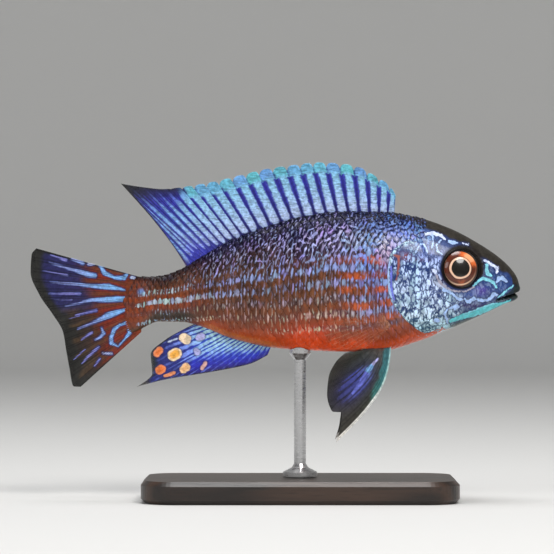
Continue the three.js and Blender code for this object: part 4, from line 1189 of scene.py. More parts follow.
def row_offset(behind):
    """How far the rows lie off the middle of the side, along the fish."""
    return np.interp(behind, [30, 50, 60, 70, 78, 84, 93, 101, 106],
                     [-0.3, -0.3, -0.9, -1.0, -1.0, -1.4, -1.0, -0.4, 0])


def lane_at(behind, height, row_pitch):
    """Rows of scales, counted upwards from the middle row, with a slow wander."""
    wander = ripple(behind, height, 9, 3) * 0.12
    return (height - row_offset(behind)) / (row_pitch * size_share(behind)) + wander


def scale_roots(sizes):
    """Rows follow the body; every second row is set back by half a step."""
    steps = [FIRST_SCALES]
    while steps[-1] < STANDARD_LENGTH + 3.2:
        steps.append(steps[-1] + sizes.scale_pitch * size_share(steps[-1]))
    columns = np.array(steps)
    rows = np.arange(-ROWS_EACH_WAY, ROWS_EACH_WAY + 1)
    row, column = np.meshgrid(rows, np.arange(len(columns)), indexing="ij")
    offset = np.where(row % 2 == 0, 0, 0.5)
    behind = np.interp(column + offset, np.arange(len(columns)), columns)
    height = row * sizes.row_pitch * size_share(behind) + row_offset(behind)
    top = np.interp(behind, ARC_BEHIND, ARC_HEIGHT[:, 0])
    bottom = np.interp(behind, ARC_BEHIND, ARC_HEIGHT[:, -1])
    turn = turn_at(behind, height)
    above = skin_point(behind, turn, 1)[..., 2] - LEVEL
    cover = inside_by(behind, above, COVER_OUTLINE)
    nape_start = 26.5 - 0.3 * np.maximum(above - 12, 0)
    starts = np.where(above > 10.5, nape_start, np.where(above < -9, 20, 27))
    ends = STANDARD_LENGTH + 2.2 - 0.25 * np.abs(height) + 0.6 * np.sin(1.9 * row)
    on_side = (height < top + 0.4) & (height > bottom - 0.4)
    kept = on_side & (cover < 0.7) & (behind > starts) & (behind < ends)
    return row[kept], column[kept], behind[kept], height[kept], above[kept], len(columns)


# Pale rows of the flank, 0 at half height: half height in rows, then strength from gill cover to tail
PALE_ROWS = {
    3: (0.5, [0.75, 0.7, 0.6, 0.5, 0.4, 0.4, 0.3, 0.2, 0, 0, 0]),
    2: (0.5, [0.9, 1.1, 1.05, 1.0, 1.0, 1.05, 0.9, 0.7, 0.7, 0.8, 0.5]),
    0: (0.5, [1.1, 1.2, 1.1, 0.85, 0.75, 0.65, 0.85, 1.1, 1.2, 1.2, 0.7]),
    -2: (0.46, [1.0, 1.0, 0.85, 0.6, 0.62, 0.5, 0.6, 0.5, 0.4, 0.3, 0]),
    -4: (0.46, [1.2, 1.2, 0.9, 0.75, 0.75, 0.3, 0.5, 0.6, 0.8, 0.8, 0]),
    -6: (0.34, [0, 0.3, 0.45, 0.75, 0.7, 0.2, 0, 0, 0, 0, 0]),
}
PALE_ROWS_AT = [28, 34, 46, 52, 60, 68, 76, 84, 90, 100, 106]


def pale_rows(lane, behind):
    """How far inside the nearest pale row a point lies, and that row's strength there."""
    inside = np.full(lane.shape, -9.0)
    strength = np.zeros(lane.shape)
    for row, (half, strengths) in PALE_ROWS.items():
        here = np.interp(behind, PALE_ROWS_AT, strengths)
        depth = half - np.abs(lane - row)
        closer = depth > inside
        inside, strength = np.where(closer, depth, inside), np.where(closer, here, strength)
    return inside, strength


def dark_is_dull(ground):
    """The share of gloss, from a fifth on the darkest skin to all of it on bright skin."""
    return 0.2 + 0.8 * step(0.02, 0.07, ground.mean(-1))


def pale_tone(behind, share):
    """Pale blue at the nape, lavender along the back, blue on the side, cream near the belly."""
    tone = tone_ramp(share, [(-1, "e8ccb4"), (-0.62, "dccab8"), (-0.42, "c8b0a4"), (-0.1, "929ecc"),
                             (0.25, "8c9cd2"), (0.55, "a6a4d8"), (1, "9690c8")])
    nape = tone_ramp(share, [(-1, "a8b8e0"), (0, "7892dc"), (0.5, "7290d8"), (1, "6076b8")])
    tone = blend_tones(tone, nape, step(50, 38, behind))
    pink = bell(behind, 35.5, 3) * bell(share, 0.4, 0.2)
    return layered(tone, ("d0a8ac", 0.75 * pink), ("a4bccc", step(82, 92, behind)))


def orange_rows(lane, behind, share, ground):
    """Between the pale rows the flank glows orange, most of all behind the gill cover."""
    between = 0.5 - 0.5 * np.cos(np.pi * lane)
    low_side = step(-0.78, -0.6, share) * step(0.46, 0.34, share)
    near = mix(0.1, 1, step(53, 43, behind)) + 0.12 * step(84, 92, behind)
    patchy = mix(0.25, 0.9, step(-0.5, 0.5, ripple(behind, 14 * share, 6, 51)))
    slate = step(0.6, 0.25, between) * low_side * mix(0.35, 1, step(58, 46, behind))
    return layered(ground, ("c0562a", patchy * step(0.25, 0.75, between) * low_side * near),
                   ("4c3c50", 0.6 * slate))


class CICHLID_OT_scales(bpy.types.Operator):
    """Lay overlapping scales over both flanks"""

    bl_idname = "cichlid.scales"
    bl_label = "Scales"

    def execute(self, context):
        sizes = body_settings()
        finish = scale_finish()
        *roots, columns = scale_roots(sizes)
        count = len(roots[0])
        row, column, behind, height, above = (value[:, None, None] for value in roots)
        lengths, widths = SCALE_GRID
        # Grid lines crowd towards the free edge and the sides, where the outline turns
        along, across = np.meshgrid(
            np.sin(np.linspace(0, np.pi / 2, lengths)), np.sin(np.linspace(-np.pi / 2, np.pi / 2, widths)),
            indexing="ij")
        # The outline narrows to the root and rounds off at the free edge
        past_shoulder = np.clip((along - SCALE_SHOULDER) / (1 - SCALE_SHOULDER), 0, 1)
        spread = np.sqrt(np.clip(1 - past_shoulder**2.6, 0.02, 1))
        spread *= mix(0.72, 1, step(0, 0.4, along))
        local_across = across * spread
        quads = grid_quads(lengths, widths)
        border = np.concatenate([
            np.arange(widths), np.arange(1, lengths) * widths + widths - 1,
            (lengths - 1) * widths + np.arange(widths - 2, -1, -1), np.arange(lengths - 2, 0, -1) * widths])
        cell = lengths * widths + 1
        size = size_share(behind)

        def with_under(grid):
            """The values of all scales' points, each scale's hidden middle point taking its root's."""
            inner = grid.reshape(count, lengths * widths, *grid.shape[3:])
            return np.concatenate([inner, inner[:, :1]], 1).reshape(count * cell, *grid.shape[3:])

        for name, side in SIDES:
            draw = np.random.default_rng(sizes.seed + side)
            length = SCALE_LENGTH * sizes.scale_pitch * size
            half = SCALE_HALF_WIDTH * sizes.row_pitch * size
            tilt = draw.uniform(-0.04, 0.04, (count, 1, 1))
            at = behind + (along - SCALE_ROOT) * length
            up = height + local_across * half + tilt * (along - 0.6) * length
            turn = np.clip(turn_at(at, up), 0.012, np.pi - 0.012)
            lift = mix(-SCALE_SUNK, sizes.scale_lift, along**0.8)
            crown = SCALE_CROWN * (1 - across**2) * step(0.3, 0.7, along)
            raised = (lift + crown) * mix(0.7, 1, size) - 0.02
            low = step(-0.5, -0.75, height_share(behind, above))
            raised = raised * mix(1, 0.16, low * (raised > 0))
            flank = step(0.5, 0.2, height_share(behind, above))
            raised = raised - mix(0.1, 0.05, flank) * step(0.82, 1.0, np.abs(across))
            surface = skin_point(at, turn, side)
            normal = skin_normal(at, turn, side)
            points = surface + normal * raised[..., None]
            middle = (slice(None), lengths // 2, widths // 2)
            under = points[middle] - normal[middle] * 0.9
            flat = np.concatenate([points.reshape(count, -1, 3), under[:, None]], 1)
            start = np.arange(count)[:, None, None] * cell
            ring = np.stack([np.roll(border, -1), border, np.full(len(border), cell - 1)], 1)
            coat = make_piece(
                f"scales_{name}", swayed(flat.reshape(-1, 3)), (quads + start).reshape(-1, 4),
                (ring + start).reshape(-1, 3), (), finish)
            point_above = surface[..., 2] - LEVEL
            share = height_share(at, point_above)
            lane = lane_at(at, up, sizes.row_pitch)
            ground = orange_rows(lane, at, share, flank_ground(at, point_above))
            inside, strength = pale_rows(lane, at)
            strength = strength * draw.uniform(0.55, 1.2, (count, 1, 1))
            between = mix(0.46, 0.38, step(43, 52, at)) * step(88, 80, at) * step(-0.72, -0.5, share)
            between = between * mix(1, 0.74, step(0.1, -0.2, share) * step(40, 47, at))
            between = between * draw.uniform(0.3, 1.3, (count, 1, 1))
            between = between - step(100, 100.8, behind)
            inside = inside - 2 * step(101.9, 102.4, behind)
            vary = draw.uniform(0.82, 1.18, (count, 1, 1, 1))
            tone = pale_tone(at, share) * draw.uniform(0.85, 1.15, (count, 1, 1, 3))
            line = forehead_at(at)
            bare = step(-0.3, 0.6, point_above - line) * step(37, 33, at)
            ground = blend_tones(ground, linear("33302c"), bare)
            # Painted shade: ground and pale marks are darkened along the back's ridge, to offset the light
            # from above on its upward-facing scales
            ridge = step(0.66, 0.9, share)[..., None]
            ground = ground * mix(1, np.array([0.66, 0.68, 0.85]), ridge)
            tone = tone * mix(1, np.array([0.86, 0.9, 0.95]), ridge)
            maze = step(2.6, 3.4, lane) * step(94, 84, at) * (1 - bare)
            sparse = np.interp(at, [28, 42, 50, 60, 70, 84], [-0.4, 0.0, 0.4, 0.7, 0.9, 1.0])
            sparse = sparse + 1.3 * step(0.76, 0.94, share)
            rim = mix(0.04, mix(0.4, 0.9, step(0.3, 0.6, share)), step(-0.62, -0.2, share))
            paint(coat, along=with_under(np.broadcast_to(along, at.shape)), ground=with_under(ground * vary),
                  light=with_under(tone), band=with_under(inside), strength=with_under(strength),
                  between=with_under(between), maze=with_under(maze), sparse=with_under(sparse),
                  rim=with_under(rim), gloss=with_under(dark_is_dull(ground)))
            # Each scale has a patch of its own, at its column and row
            lanes, rows = row + ROWS_EACH_WAY, 2 * ROWS_EACH_WAY + 1
            places = np.stack(np.broadcast_arrays(
                (column + 0.05 + 0.9 * along) / (columns + 1),
                (lanes + 0.05 + 0.45 * (across + 1)) / rows), -1)
            bake_map(coat, with_under(places))
        return {"FINISHED"}


# Fins
def sheet_piece(name, middle, thickness, stands_for, material, normal=(0, 1, 0)):
    """Two like faces, half a thickness either side of the middle sheet, closed along all four rims."""
    columns, rows = middle.shape[:2]
    half = np.asarray(normal) * thickness[..., None] / 2
    points = np.concatenate([(middle + half).reshape(-1, 3), (middle - half).reshape(-1, 3)])
    face = grid_quads(columns, rows)
    index = np.arange(columns * rows).reshape(columns, rows)
    loop = np.concatenate([index[:, 0], index[-1, 1:], index[-2::-1, -1], index[0, -2:0:-1]])
    after = np.roll(loop, -1)
    total = columns * rows
    rim = np.stack([loop, loop + total, after + total, after], 1)
    return make_piece(name, swayed(points), np.concatenate([face[:, ::-1], face + total, rim]), (),
                      stands_for, material)


def both_faces(grid):
    """The same value for the points of both faces of a fin."""
    flat = grid.reshape(-1, *grid.shape[2:])
    return np.concatenate([flat, flat])


def edge_curves(points):
    """Two curves against the place from first ray to last."""
    places, *columns = zip(*points)
    return [curve_through(places, column) for column in columns]


def fin_places(rays, per_ray, rows):
    """Place from the first ray to the last, share from root to edge, and place within each ray."""
    at, share = np.meshgrid(np.linspace(0, 1, rays * per_ray + 1), np.linspace(0, 1, rows), indexing="ij")
    return at, share, (at * rays) % 1.0


def ray_thickness(phase, share, branches=True):
    """A membrane with a crest on each ray; a soft ray parts in two, then in four, towards the edge."""
    part = 0.11 * step(0.3, 0.5, share) if branches else 0
    finer = 0.05 * step(0.62, 0.8, share) if branches else 0
    wide = mix(0.085, 0.05, share)
    off = np.minimum(phase, 1 - phase)
    crest = np.zeros(np.broadcast(phase, share).shape)
    for first in (-1, 1):
        for second in (-1, 1):
            centre = first * part + second * finer
            near = (off * np.sign(0.5 - phase) - centre) / wide
            crest = np.maximum(crest, np.exp(-(near**2)))
    membrane = mix(MEMBRANE, EDGE, share**2)
    return membrane + (mix(RAY, 0.2, share**1.3) - MEMBRANE) * np.maximum(crest, 0) * (1 - 0.5 * share)


def median_sheet(root, edge, share):
    """Straight lines from root to edge, in the middle plane, with a small wave aside."""
    behind, above = (mix(first, last, share) for first, last in zip(root, edge))
    wave = 0.22 * share**1.5 * np.sin(behind * 0.55 + 0.2 * above)
    return np.stack([SNOUT_X - behind, wave, LEVEL + above], -1), behind, above


def paint_fin(fin, **values):
    """Paints both faces of a fin. Values left out are 0, and solid is 1."""
    shape = values["off"].shape
    blank = {"strip": -2.0, "amount": 0.0, "line": 0.0, "halo": 0.0, "spot": -9.0, "solid": 1.0}
    full = {name: np.full(shape, value) for name, value in blank.items()}
    full["spot_tone"] = np.zeros((*shape, 3))
    full.update(values)
    paint(fin, **{name: both_faces(value) for name, value in full.items()})


def ray_lines(phase, share):
    """Fine dark lines beside each ray's crest."""
    return bell(np.abs(phase - 0.5) * 2, 0.72, 0.16) * step(0.0, 0.2, share)


class CICHLID_OT_dorsal_fin(bpy.types.Operator):
    """Build the dorsal fin, with a lappet behind each spine and branched rays after them"""

    bl_idname = "cichlid.dorsal_fin"
    bl_label = "Dorsal fin"

    def execute(self, context):
        rays = DORSAL_SPINES + DORSAL_RAYS
        at, share, phase = fin_places(rays, 16, 72)
        spiny_end = DORSAL_SPINES / rays
        root_behind = curve_through(*zip(*DORSAL_ROOT))(at)
        edge_behind, edge_above = (curve(at) for curve in edge_curves(DORSAL_EDGE))
        # Each lappet is a rounded lobe behind its spine
        from_lappet = 2 * ((at * rays - LAPPET_LAG + 0.5) % 1.0 - 0.5)
        lobe = np.sqrt(np.clip(1 - np.abs(from_lappet) ** 3, 0, 1))
        edge_above = edge_above + step(spiny_end + 0.1, spiny_end - 0.04, at) * LAPPET * (1.7 * lobe - 0.7)
        middle, behind, above = median_sheet(
            (root_behind, back_at(root_behind) - ROOT_SINK), (edge_behind, edge_above), share)
        soft = step(spiny_end - 0.01, spiny_end + 0.03, at)
        thick = mix(ray_thickness(phase, share, False), ray_thickness(phase, share), soft)
        pad = step(0.86, 0.93, share) * np.sqrt(np.clip(1 - from_lappet**2, 0, 1)) * (1 - soft)
        fin = sheet_piece("dorsal_sail", middle, thick + PAD_THICKNESS * pad,
                          ("dorsal_fin_spiny", "dorsal_fin_soft"), fin_finish("dorsal_membrane", 0.35))
        rear = np.maximum(step(0.6, 0.8, at), step(88, 92, behind) * step(0.5, 0.8, share))
        front_dark = tone_ramp(share, [(0, "12102a"), (0.1, "1c1c58"), (0.5, "242480"), (0.85, "28288c"),
                                       (1, "243c74")])
        rear_dark = tone_ramp(share, [(0, "3c40b8"), (0.14, "3034a8"), (0.4, "222c7c"), (0.8, "2a2a94"),
                                      (1, "242434")])
        dark = blend_tones(front_dark, rear_dark, rear)
        knob_tone = tone_ramp(np.sin(2.7 * np.floor(at * rays + 0.17)), [(-1, "66c0d0"), (1, "6ea4e2")])
        front_light = tone_ramp(share, [(0, "98b0ea"), (0.15, "b8ccf6"), (0.4, "a6caf6"), (0.7, "90c6ec"),
                                        (1, "7cc4ec")])
        front_light = blend_tones(front_light, knob_tone, step(0.8, 0.88, share) * step(91, 87.5, behind))
        rear_light = tone_ramp(share, [(0, "5c64d0"), (0.14, "8090e4"), (0.3, "98baf0"), (0.55, "7cacea"),
                                       (0.72, "6c8cdc"), (0.85, "5466c6"), (1, "383c64")])
        light = blend_tones(front_light, rear_light, rear)
        tip = step(0.7, 0.82, at) * step(0.62, 0.9, share)
        trailing = step(0.965, 0.985, at) * step(0.1, 0.3, share)
        # The last rays stand close together, so only every second one has its strip
        place = np.where(at > 0.86, 0.86 + 0.5 * (at - 0.86), at)
        off = 2 * np.abs((place * rays - LAPPET_LAG + 0.5) % 1.0 - 0.5)
        violet = bell(off, 0.68, 0.1) * step(0.04, 0.14, share) * step(0.9, 0.8, share)
        dark = layered(dark, ("2b2b2c", tip), ("4a3a30", trailing), ("4c50c8", 0.6 * violet))
        light = layered(light, ("2c2c34", 0.9 * tip), ("c8c0a8", trailing))
        # Strips begin in a round end above a dark foot, and widen into the lappets
        foot = mix(0.05, 0.1, rear) + 0.03 * ripple(behind, above, 3, 61)
        rise = np.clip((share - foot) / 0.1, 0, 1)
        wide = mix(mix(0.66, 0.52, step(0.1, 0.7, share)), 0.7, step(0.35, 0.6, at))
        wide = mix(wide, 0.5, step(0.62, 0.76, at))
        strip = wide * np.sqrt(1 - (1 - rise) ** 2) - 0.4 * (share < foot)
        strip = mix(strip, 0.92, step(0.81, 0.86, share) * (1 - rear)) - 0.36 * rear * step(0.45, 0.95, share)
        amount = (1 - 0.8 * step(0.93, 0.975, at)) * (1 - 0.8 * rear * step(0.86, 0.97, share))
        line = ray_lines(phase, share) * mix(0.3, 0.5, rear)
        solid = 1 - 0.15 * tip * step(0.8, 1, share)
        paint_fin(fin, off=off, strip=strip, amount=amount, ground=dark, light=light, line=line, solid=solid)
        return {"FINISHED"}


class CICHLID_OT_tail_fin(bpy.types.Operator):
    """Build the tail fin with branched rays and pale streaks on rusty red"""

    bl_idname = "cichlid.tail_fin"
    bl_label = "Tail fin"

    def execute(self, context):
        at, share, phase = fin_places(TAIL_RAYS, 16, 110)
        root = STANDARD_LENGTH - TAIL_ROOT["sunk"], mix(TAIL_ROOT["top"], TAIL_ROOT["bottom"], at)
        middle, behind, above = median_sheet(root, [curve(at) for curve in edge_curves(TAIL_EDGE)], share)
        fin = sheet_piece("tail_fan", middle, ray_thickness(phase, share), ("tail_fin",),
                          fin_finish("tail_membrane"))
        wander = 0.05 * ripple(behind, above, 6, 21)
        ground = tone_ramp(share + wander, [
            (0, "803818"), (0.2, "8c3016"), (0.42, "7c2616"), (0.56, "5c2a1c"), (0.7, "3a2a24"),
            (0.86, "282624"), (1, "232321")])
        upper = step(0.46, 0.36, at) * step(0.4, 0.62, share + wander)
        bands = step(0.2, 0.9, np.sin(np.pi * at * TAIL_RAYS + 24 * wander))
        rims = step(0.03, 0, at) + step(0.965, 1, at) * step(0.3, 0.5, share)
        margin = np.clip(np.maximum(step(0.86, 0.93, share), rims), 0, 1)
        ground = layered(ground, ("26265c", 0.92 * upper),
                         ("56402a", 0.5 * bands * step(0.08, 0.2, share) * (1 - upper)), ("242422", margin))
        mark, mark_tone = strokes(behind, above, TAIL_STREAKS)
        fibre = 0.5 + 0.5 * np.cos(8 * np.pi * at * TAIL_RAYS + 40 * wander)
        mark = mark + 0.2 * (fibre - 0.7) * step(0.3, 0.6, share)
        outwards = step(0.25, 0.75, share)
        mark_tone = layered(mark_tone, ("9894e0", 0.75 * outwards))
        border = linear("4664b4") * mix(1, 0.6, outwards)[..., None]
        mark_tone = blend_tones(border, mark_tone, step(-0.15, 0.25, mark))
        mark_tone = mark_tone * (mix(1.1, 0.8, outwards) * mix(0.82, 1.15, fibre))[..., None]
        solid = 1 - 0.1 * step(0.9, 1, share)
        paint_fin(fin, off=np.abs(phase - 0.5) * 2, ground=ground, light=ground, line=ray_lines(phase, share),
                  spot=mark, spot_tone=mark_tone, halo=0.7 * step(0.8, 0.6, share), solid=solid)
        return {"FINISHED"}


class CICHLID_OT_anal_fin(bpy.types.Operator):
    """Build the anal fin with its egg spots"""

    bl_idname = "cichlid.anal_fin"
    bl_label = "Anal fin"

    def execute(self, context):
        at, share, phase = fin_places(ANAL_RAYS, 18, 100)
        root_behind = curve_through([0, 0.33, 0.67, 1], ANAL_ROOT)(at)
        root = root_behind, belly_at(root_behind) + ROOT_SINK
        middle, behind, above = median_sheet(root, [curve(at) for curve in edge_curves(ANAL_EDGE)], share)
        fin = sheet_piece("anal_sail", middle, ray_thickness(phase, share), ("anal_fin",),
                          fin_finish("anal_membrane"))
        off = 2 * np.abs((at * ANAL_RAYS * 1.5 + 0.1 * ripple(behind, above, 5, 33)) % 1.0 - 0.5)
        reach = mix(0.42, 0.62, step(0.2, 0.7, at)) + 0.1 * ripple(behind, above, 4, 31)
        near_root = step(reach + 0.12, reach - 0.16, share)
        strip = 0.2 + 0.42 * near_root + 0.16 * ripple(behind, above, 3, 35)
        amount = mix(0.3 + 0.3 * ripple(behind, above, 4, 37), 1, near_root) * step(0.02, 0.1, share)
        ground = tone_ramp(share, [(0, "3050a8"), (0.15, "345ccc"), (0.5, "2e3cc4"), (0.75, "2e2eae"),
                                   (0.92, "2e2878"), (1, "2a2640")])
        slate = step(86, 91, behind + 0.3 * (above + 18))
        rearmost = np.maximum(step(0.955, 0.985, at), step(0.86, 0.97, share) * step(0.6, 0.75, at))
        tipward = step(97.5, 100, behind)
        line = bell(at, 0.992, 0.006) * step(0.15, 0.3, share)
        ground = layered(ground, ("27306a", 0.75 * slate), ("2e342c", 0.85 * rearmost), ("35302e", tipward),
                         ("98a49c", line))
        light = tone_ramp(share, [(0, "a4d4f4"), (0.12, "bce8fa"), (0.3, "a0ccf6"), (0.5, "7c98f0"),
                                  (1, "7080f0")])
        mark = np.full(share.shape, -9.0)
        mark_tone = np.zeros((*share.shape, 3))
        for spot in EGG_SPOTS:
            inside, tone = strokes(behind, above, [spot])
            tone = layered(tone, ("fbe6c2", spot[1] * step(0.75, 0.25, inside)))
            closer = inside > mark
            mark, mark_tone = np.where(closer, inside, mark), np.where(closer[..., None], tone, mark_tone)
        solid = 1 - 0.4 * step(0.94, 1, share) - 0.3 * tipward
        paint_fin(fin, off=off, strip=strip, amount=np.clip(amount, 0, 1) * (1 - rearmost) * (1 - tipward),
                  ground=ground, light=light, line=0.3 * ray_lines(phase, share), spot=mark,
                  spot_tone=mark_tone, halo=np.full(share.shape, 0.55), solid=solid)
        return {"FINISHED"}


class CICHLID_OT_pelvic_fins(bpy.types.Operator):
    """Build both pelvic fins"""

    bl_idname = "cichlid.pelvic_fins"
    bl_label = "Pelvic fins"

    def execute(self, context):
        finish = fin_finish("pelvic_membrane")
        at, share, phase = fin_places(PELVIC_RAYS, 18, 110)
        edge_behind, edge_above = (curve(at) for curve in edge_curves(PELVIC_EDGE))
        root_behind = mix(PELVIC_ROOT["front"], PELVIC_ROOT["rear"], at)
        root_above = belly_at(root_behind) + ROOT_SINK + 0.5
        behind = mix(root_behind, edge_behind, share) - PELVIC_BOW * np.sin(np.pi * share) * (1 - 0.75 * at)
        above = mix(root_above, edge_above, share)
        splay = PELVIC_ROOT["splay"]
        out = PELVIC_ROOT["aside"] + (root_above - above) * np.tan(splay)
        ground = tone_ramp(share + 0.04 * ripple(behind, above, 3, 43), [
            (0, "8a4a30"), (0.1, "54504a"), (0.3, "3f4440"), (0.6, "34382c"), (0.85, "322f29"),
            (1, "3a3832")])
        rearward, upward = behind - 44, above + 25
        tint = bell(rearward + upward, 0, 4.6) * bell(rearward - upward, 0, 9)
        ground = layered(ground, ("2c2c6c", 0.85 * tint))
        front_edge = list(zip(behind[0, ::7], above[0, ::7])) + [(behind[0, -1], above[0, -1])]
        from_front = distance_to_line(behind, above, front_edge)
        lead = step(2.3, 1.5, from_front + 0.3 * ripple(behind, above, 3, 71)) * step(0.66, 0.58, share)
        teal = tone_ramp(share, [(0, "3f6c74"), (0.3, "2f7078"), (0.6, "37706c"), (1, "3c5c56")])
        ground = blend_tones(ground, teal, lead)
        edge_line = step(0.62, 0.3, from_front + mix(0.14, -0.16, step(0.45, 0.65, share)))
        line_tone = tone_ramp(share, [(0, "a8d8e0"), (0.35, "c0ece8"), (0.6, "f0f2f0"), (1, "fffaf2")])
        ground = blend_tones(ground, line_tone, edge_line)
        light = tone_ramp(share, [(0, "8c9cd0"), (0.4, "6c80d0"), (0.6, "5058b0"), (1, "3c3c70")])
        mark, mark_tone = strokes(behind, above, PELVIC_STREAKS)
        solid = 1 - 0.3 * step(0.3, 0.7, at) * step(0.2, 0.6, share)
        solid = solid - 0.35 * step(0.9, 1, at) * step(0.1, 0.3, share)
        for name, side in SIDES:
            wave = 0.25 * share**1.3 * np.sin(3 * np.pi * at)
            middle = np.stack([SNOUT_X - behind, side * (out + wave), LEVEL + above], -1)
            fin = sheet_piece(f"pelvic_sail_{name}", middle, ray_thickness(phase, share),
                              (f"pelvic_fin_{name}",), finish, (0, side * np.cos(splay), np.sin(splay)))
            paint_fin(fin, off=2 * np.abs((at * PELVIC_RAYS * 2.5) % 1.0 - 0.5), ground=ground,
                      strip=0.3 + 0.5 * tint, amount=0.75 * step(0.3, 0.6, tint),
                      light=light, line=0.8 * ray_lines(phase, share), spot=mark, spot_tone=mark_tone,
                      halo=np.full(share.shape, 0.3), solid=solid)
        return {"FINISHED"}


class CICHLID_OT_pectoral_fins(bpy.types.Operator):
    """Build both pectoral fins, nearly clear"""

    bl_idname = "cichlid.pectoral_fins"
    bl_label = "Pectoral fins"

    def execute(self, context):
        finish = fin_finish("pectoral_membrane")
        at, share, phase = fin_places(PECTORAL_RAYS, 14, 60)
        edge_reach, edge_drop = (curve(at) for curve in edge_curves(PECTORAL_EDGE))
        top, bottom = PECTORAL_ROOT["top"], PECTORAL_ROOT["bottom"]
        middle_height, splay = (top + bottom) / 2, PECTORAL_ROOT["splay"]
        root_out = float(skin_reach(np.array(PECTORAL_ROOT["behind"]), np.array(middle_height)))
        above = mix(mix(top, bottom, at), middle_height + edge_drop, share)
        cup = 0.8 * np.sin(np.pi * at) * share
        off = np.abs(phase - 0.5) * 2
        ray = step(0.78, 0.95, off)
        # The cream root is partly the fin's own tone and partly painted light: it is painted lighter to
        # offset the shade that the fin's facing gives it
        ground = tone_ramp(share, [(0, "e0a888"), (0.16, "c07c5c"), (0.34, "a86a48"), (1, "b09474")])
        solid = mix(mix(0.05, 0.34, ray) * (1 - 0.6 * step(0.5, 1, share)), 0.45, step(0.3, 0.03, share))
        for name, side in SIDES:
            away = np.array([-np.cos(splay), side * np.sin(splay), 0])
            outward = np.array([np.sin(splay), side * np.cos(splay), 0])
            start = np.stack(np.broadcast_arrays(
                SNOUT_X - PECTORAL_ROOT["behind"], side * (root_out - 0.9), LEVEL + above), -1)
            middle = start + (edge_reach * share)[..., None] * away + cup[..., None] * outward
            fin = sheet_piece(f"pectoral_sail_{name}", middle, 0.6 * ray_thickness(phase, share),
                              (f"pectoral_fin_{name}",), finish, outward)
            paint_fin(fin, off=off, ground=ground, light=ground, solid=solid)
        return {"FINISHED"}


class CICHLID_OT_eyes(bpy.types.Operator):
    """Build both eyes"""

    bl_idname = "cichlid.eyes"
    bl_label = "Eyes"

    def execute(self, context):
        finish = eye_finish()
        # A squashed ball: polar angle from the axis, then round it
        polar, around = np.meshgrid(
            np.linspace(0.02, np.pi - 0.02, 72), np.linspace(0, 2 * np.pi, 96, endpoint=False), indexing="ij")
        out = EYE_RADIUS * np.sin(polar)

        def whole(value):
            """The values of the grid, then 0 at the front pole and 9, far out, at the hidden one."""
            return np.append(value.ravel(), [0, 9])

        for name, side in SIDES:
            axis, ahead, up = eye_frame(side)
            centre = eye_surface(side) - EYE_SUNK * axis
            points = (centre + (EYE_DEPTH * np.cos(polar))[..., None] * axis
                      + (out * np.cos(around))[..., None] * ahead + (out * np.sin(around))[..., None] * up)
            rows, columns = polar.shape
            flat = points.reshape(-1, 3)
            poles = np.stack([centre + EYE_DEPTH * axis, centre - EYE_DEPTH * axis])
            ball = make_piece(
                f"eyeball_{name}", swayed(np.concatenate([flat, poles])), grid_quads(rows, columns, True),
                end_fans(rows, columns), (f"eye_{name}",), finish)
            forward, upward = out * np.cos(around) + PUPIL_BACK, out * np.sin(around)
            heading = np.arctan2(upward, forward)
            bright = 1.1 * bell(heading, 0.85, 0.8) + 0.45 * bell(heading, -1.5, 0.6)
            below = bell(heading, -1.45, 0.85) + 0.35 * (np.abs(heading) > 2.5)
            front = polar < np.pi / 2
            radius = np.where(front, np.hypot(forward, upward), 9)
            paint(ball, out=whole(radius), bright=whole(bright), below=whole(below))
        return {"FINISHED"}


class CICHLID_OT_stand(bpy.types.Operator):
    """Finish the base and the rod"""

    bl_idname = "cichlid.stand"
    bl_label = "Stand"

    def execute(self, context):
        look = context.scene.cichlid_stand
        for node, material in (("stand_base", wood_finish(look)), ("stand_rod", steel_finish(look))):
            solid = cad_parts[node]
            solid.data.materials.clear()
            solid.data.materials.append(material)
        return {"FINISHED"}


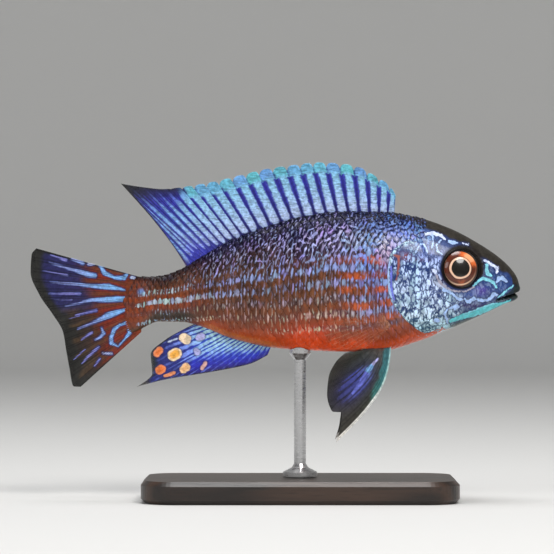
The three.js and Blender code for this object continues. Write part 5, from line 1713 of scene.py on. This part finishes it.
class CICHLID_OT_stage(bpy.types.Operator):
    """Set the floor, the lights and the camera"""

    bl_idname = "cichlid.stage"
    bl_label = "Stage"

    def execute(self, context):
        scene = context.scene
        look = scene.cichlid_stage
        # A round floor that rises in a quarter circle to a wall on all sides
        bend = np.linspace(0, np.pi / 2, 24)
        run = np.concatenate([[5, 400], FLOOR_REACH + FLOOR_BEND * np.sin(bend), [FLOOR_REACH + FLOOR_BEND]])
        rise = np.concatenate([[0, 0], FLOOR_BEND * (1 - np.cos(bend)), [WALL_TOP]])
        around = np.linspace(0, 2 * np.pi, 120, endpoint=False)[None, :]
        points = np.stack(np.broadcast_arrays(
            run[:, None] * np.cos(around), run[:, None] * np.sin(around), rise[:, None]), -1)
        faces = [list(face) for face in grid_quads(len(run), 120, True)] + [list(range(120))]
        mesh = bpy.data.meshes.new("studio_floor")
        mesh.from_pydata((points.reshape(-1, 3) * MM).tolist(), [], faces)
        mesh.shade_smooth()
        floor = bpy.data.objects.new("studio_floor", mesh)
        scene.collection.objects.link(floor)
        finish = Finish("studio_paper")
        tone = look.floor_tone
        finish.shade(Base_Color=(tone, tone, tone * 0.99, 1), Roughness=0.9)
        mesh.materials.append(finish.material)
        world = bpy.data.worlds.new("studio_air")
        scene.world = world
        world.use_nodes = True
        world.node_tree.nodes["Background"].inputs[0].default_value = (0.86, 0.87, 0.88, 1)
        world.node_tree.nodes["Background"].inputs[1].default_value = look.air
        power = look.key_power
        # Name, kind, place (mm), size (m), share of the key light's power, tint
        for name, kind, place, size, share, tint in (
                ("key", "AREA", (240, -520, 640), 0.34, 1.0, (1, 0.98, 0.95)),
                ("fill", "AREA", (-560, -500, 480), 0.4, 0.3, (1, 1, 1)),
                ("top", "AREA", (-60, 120, 760), 0.4, 0.4, (1, 1, 1)),
                ("room", "POINT", (0, 0, 1200), 0.3, look.room_share, (1, 1, 1))):
            light = bpy.data.lights.new(name, kind)
            light.energy, light.color = power * share, tint
            if kind == "AREA":
                light.shape, light.size = "DISK", size
            else:
                light.shadow_soft_size = size
            lamp = bpy.data.objects.new(name, light)
            scene.collection.objects.link(lamp)
            lamp.location = np.array(place) * MM
            lamp.rotation_euler = look_rotation(np.array([0, 0, LEVEL]) - place)
        camera = bpy.data.cameras.new("side_view")
        camera.sensor_width = 36
        camera.lens = 36 * look.distance / look.view_width
        camera.clip_end = 20
        eye = bpy.data.objects.new("side_view", camera)
        scene.collection.objects.link(eye)
        eye.location = np.array([look.view_x, -look.distance, look.view_z]) * MM
        eye.rotation_euler = (np.pi / 2, 0, 0)
        scene.camera = eye
        scene.view_settings.view_transform = "Standard"
        return {"FINISHED"}


def look_rotation(direction):
    """Euler angles that turn -Z to a direction, with X kept level."""
    flat = np.hypot(direction[0], direction[1])
    return (np.arctan2(flat, -direction[2]), 0, np.arctan2(-direction[0], direction[1]))


class CICHLID_PT_panel(bpy.types.Panel):
    """List the fish's pieces"""

    bl_idname = "CICHLID_PT_panel"
    bl_label = "Peacock cichlid"
    bl_space_type = "VIEW_3D"
    bl_region_type = "UI"
    bl_category = "Cichlid"

    def draw(self, context):
        scene = context.scene
        for settings in (scene.cichlid_body, scene.cichlid_stand, scene.cichlid_stage):
            for name in settings.__annotations__:
                self.layout.prop(settings, name)
        for piece in PIECES:
            self.layout.operator(piece.bl_idname)


PIECES = (
    CICHLID_OT_skin,
    CICHLID_OT_scales,
    CICHLID_OT_dorsal_fin,
    CICHLID_OT_tail_fin,
    CICHLID_OT_anal_fin,
    CICHLID_OT_pelvic_fins,
    CICHLID_OT_pectoral_fins,
    CICHLID_OT_eyes,
    CICHLID_OT_stand,
    CICHLID_OT_stage,
)
CLASSES = (BodySettings, StandSettings, StageSettings, *PIECES, CICHLID_PT_panel)


def register():
    """Adds the classes and their settings."""
    for each in CLASSES:
        bpy.utils.register_class(each)
    bpy.types.Scene.cichlid_body = PointerProperty(type=BodySettings)
    bpy.types.Scene.cichlid_stand = PointerProperty(type=StandSettings)
    bpy.types.Scene.cichlid_stage = PointerProperty(type=StageSettings)


def unregister():
    """Takes them away again, last first."""
    del bpy.types.Scene.cichlid_stage
    del bpy.types.Scene.cichlid_stand
    del bpy.types.Scene.cichlid_body
    for each in reversed(CLASSES):
        bpy.utils.unregister_class(each)


def main():
    """Builds every piece."""
    register()
    bpy.ops.cichlid.stage()
    bpy.ops.cichlid.skin()
    bpy.ops.cichlid.scales()
    bpy.ops.cichlid.dorsal_fin()
    bpy.ops.cichlid.tail_fin()
    bpy.ops.cichlid.anal_fin()
    bpy.ops.cichlid.pelvic_fins()
    bpy.ops.cichlid.pectoral_fins()
    bpy.ops.cichlid.eyes()
    bpy.ops.cichlid.stand()


if __name__ == "__main__":
    main()
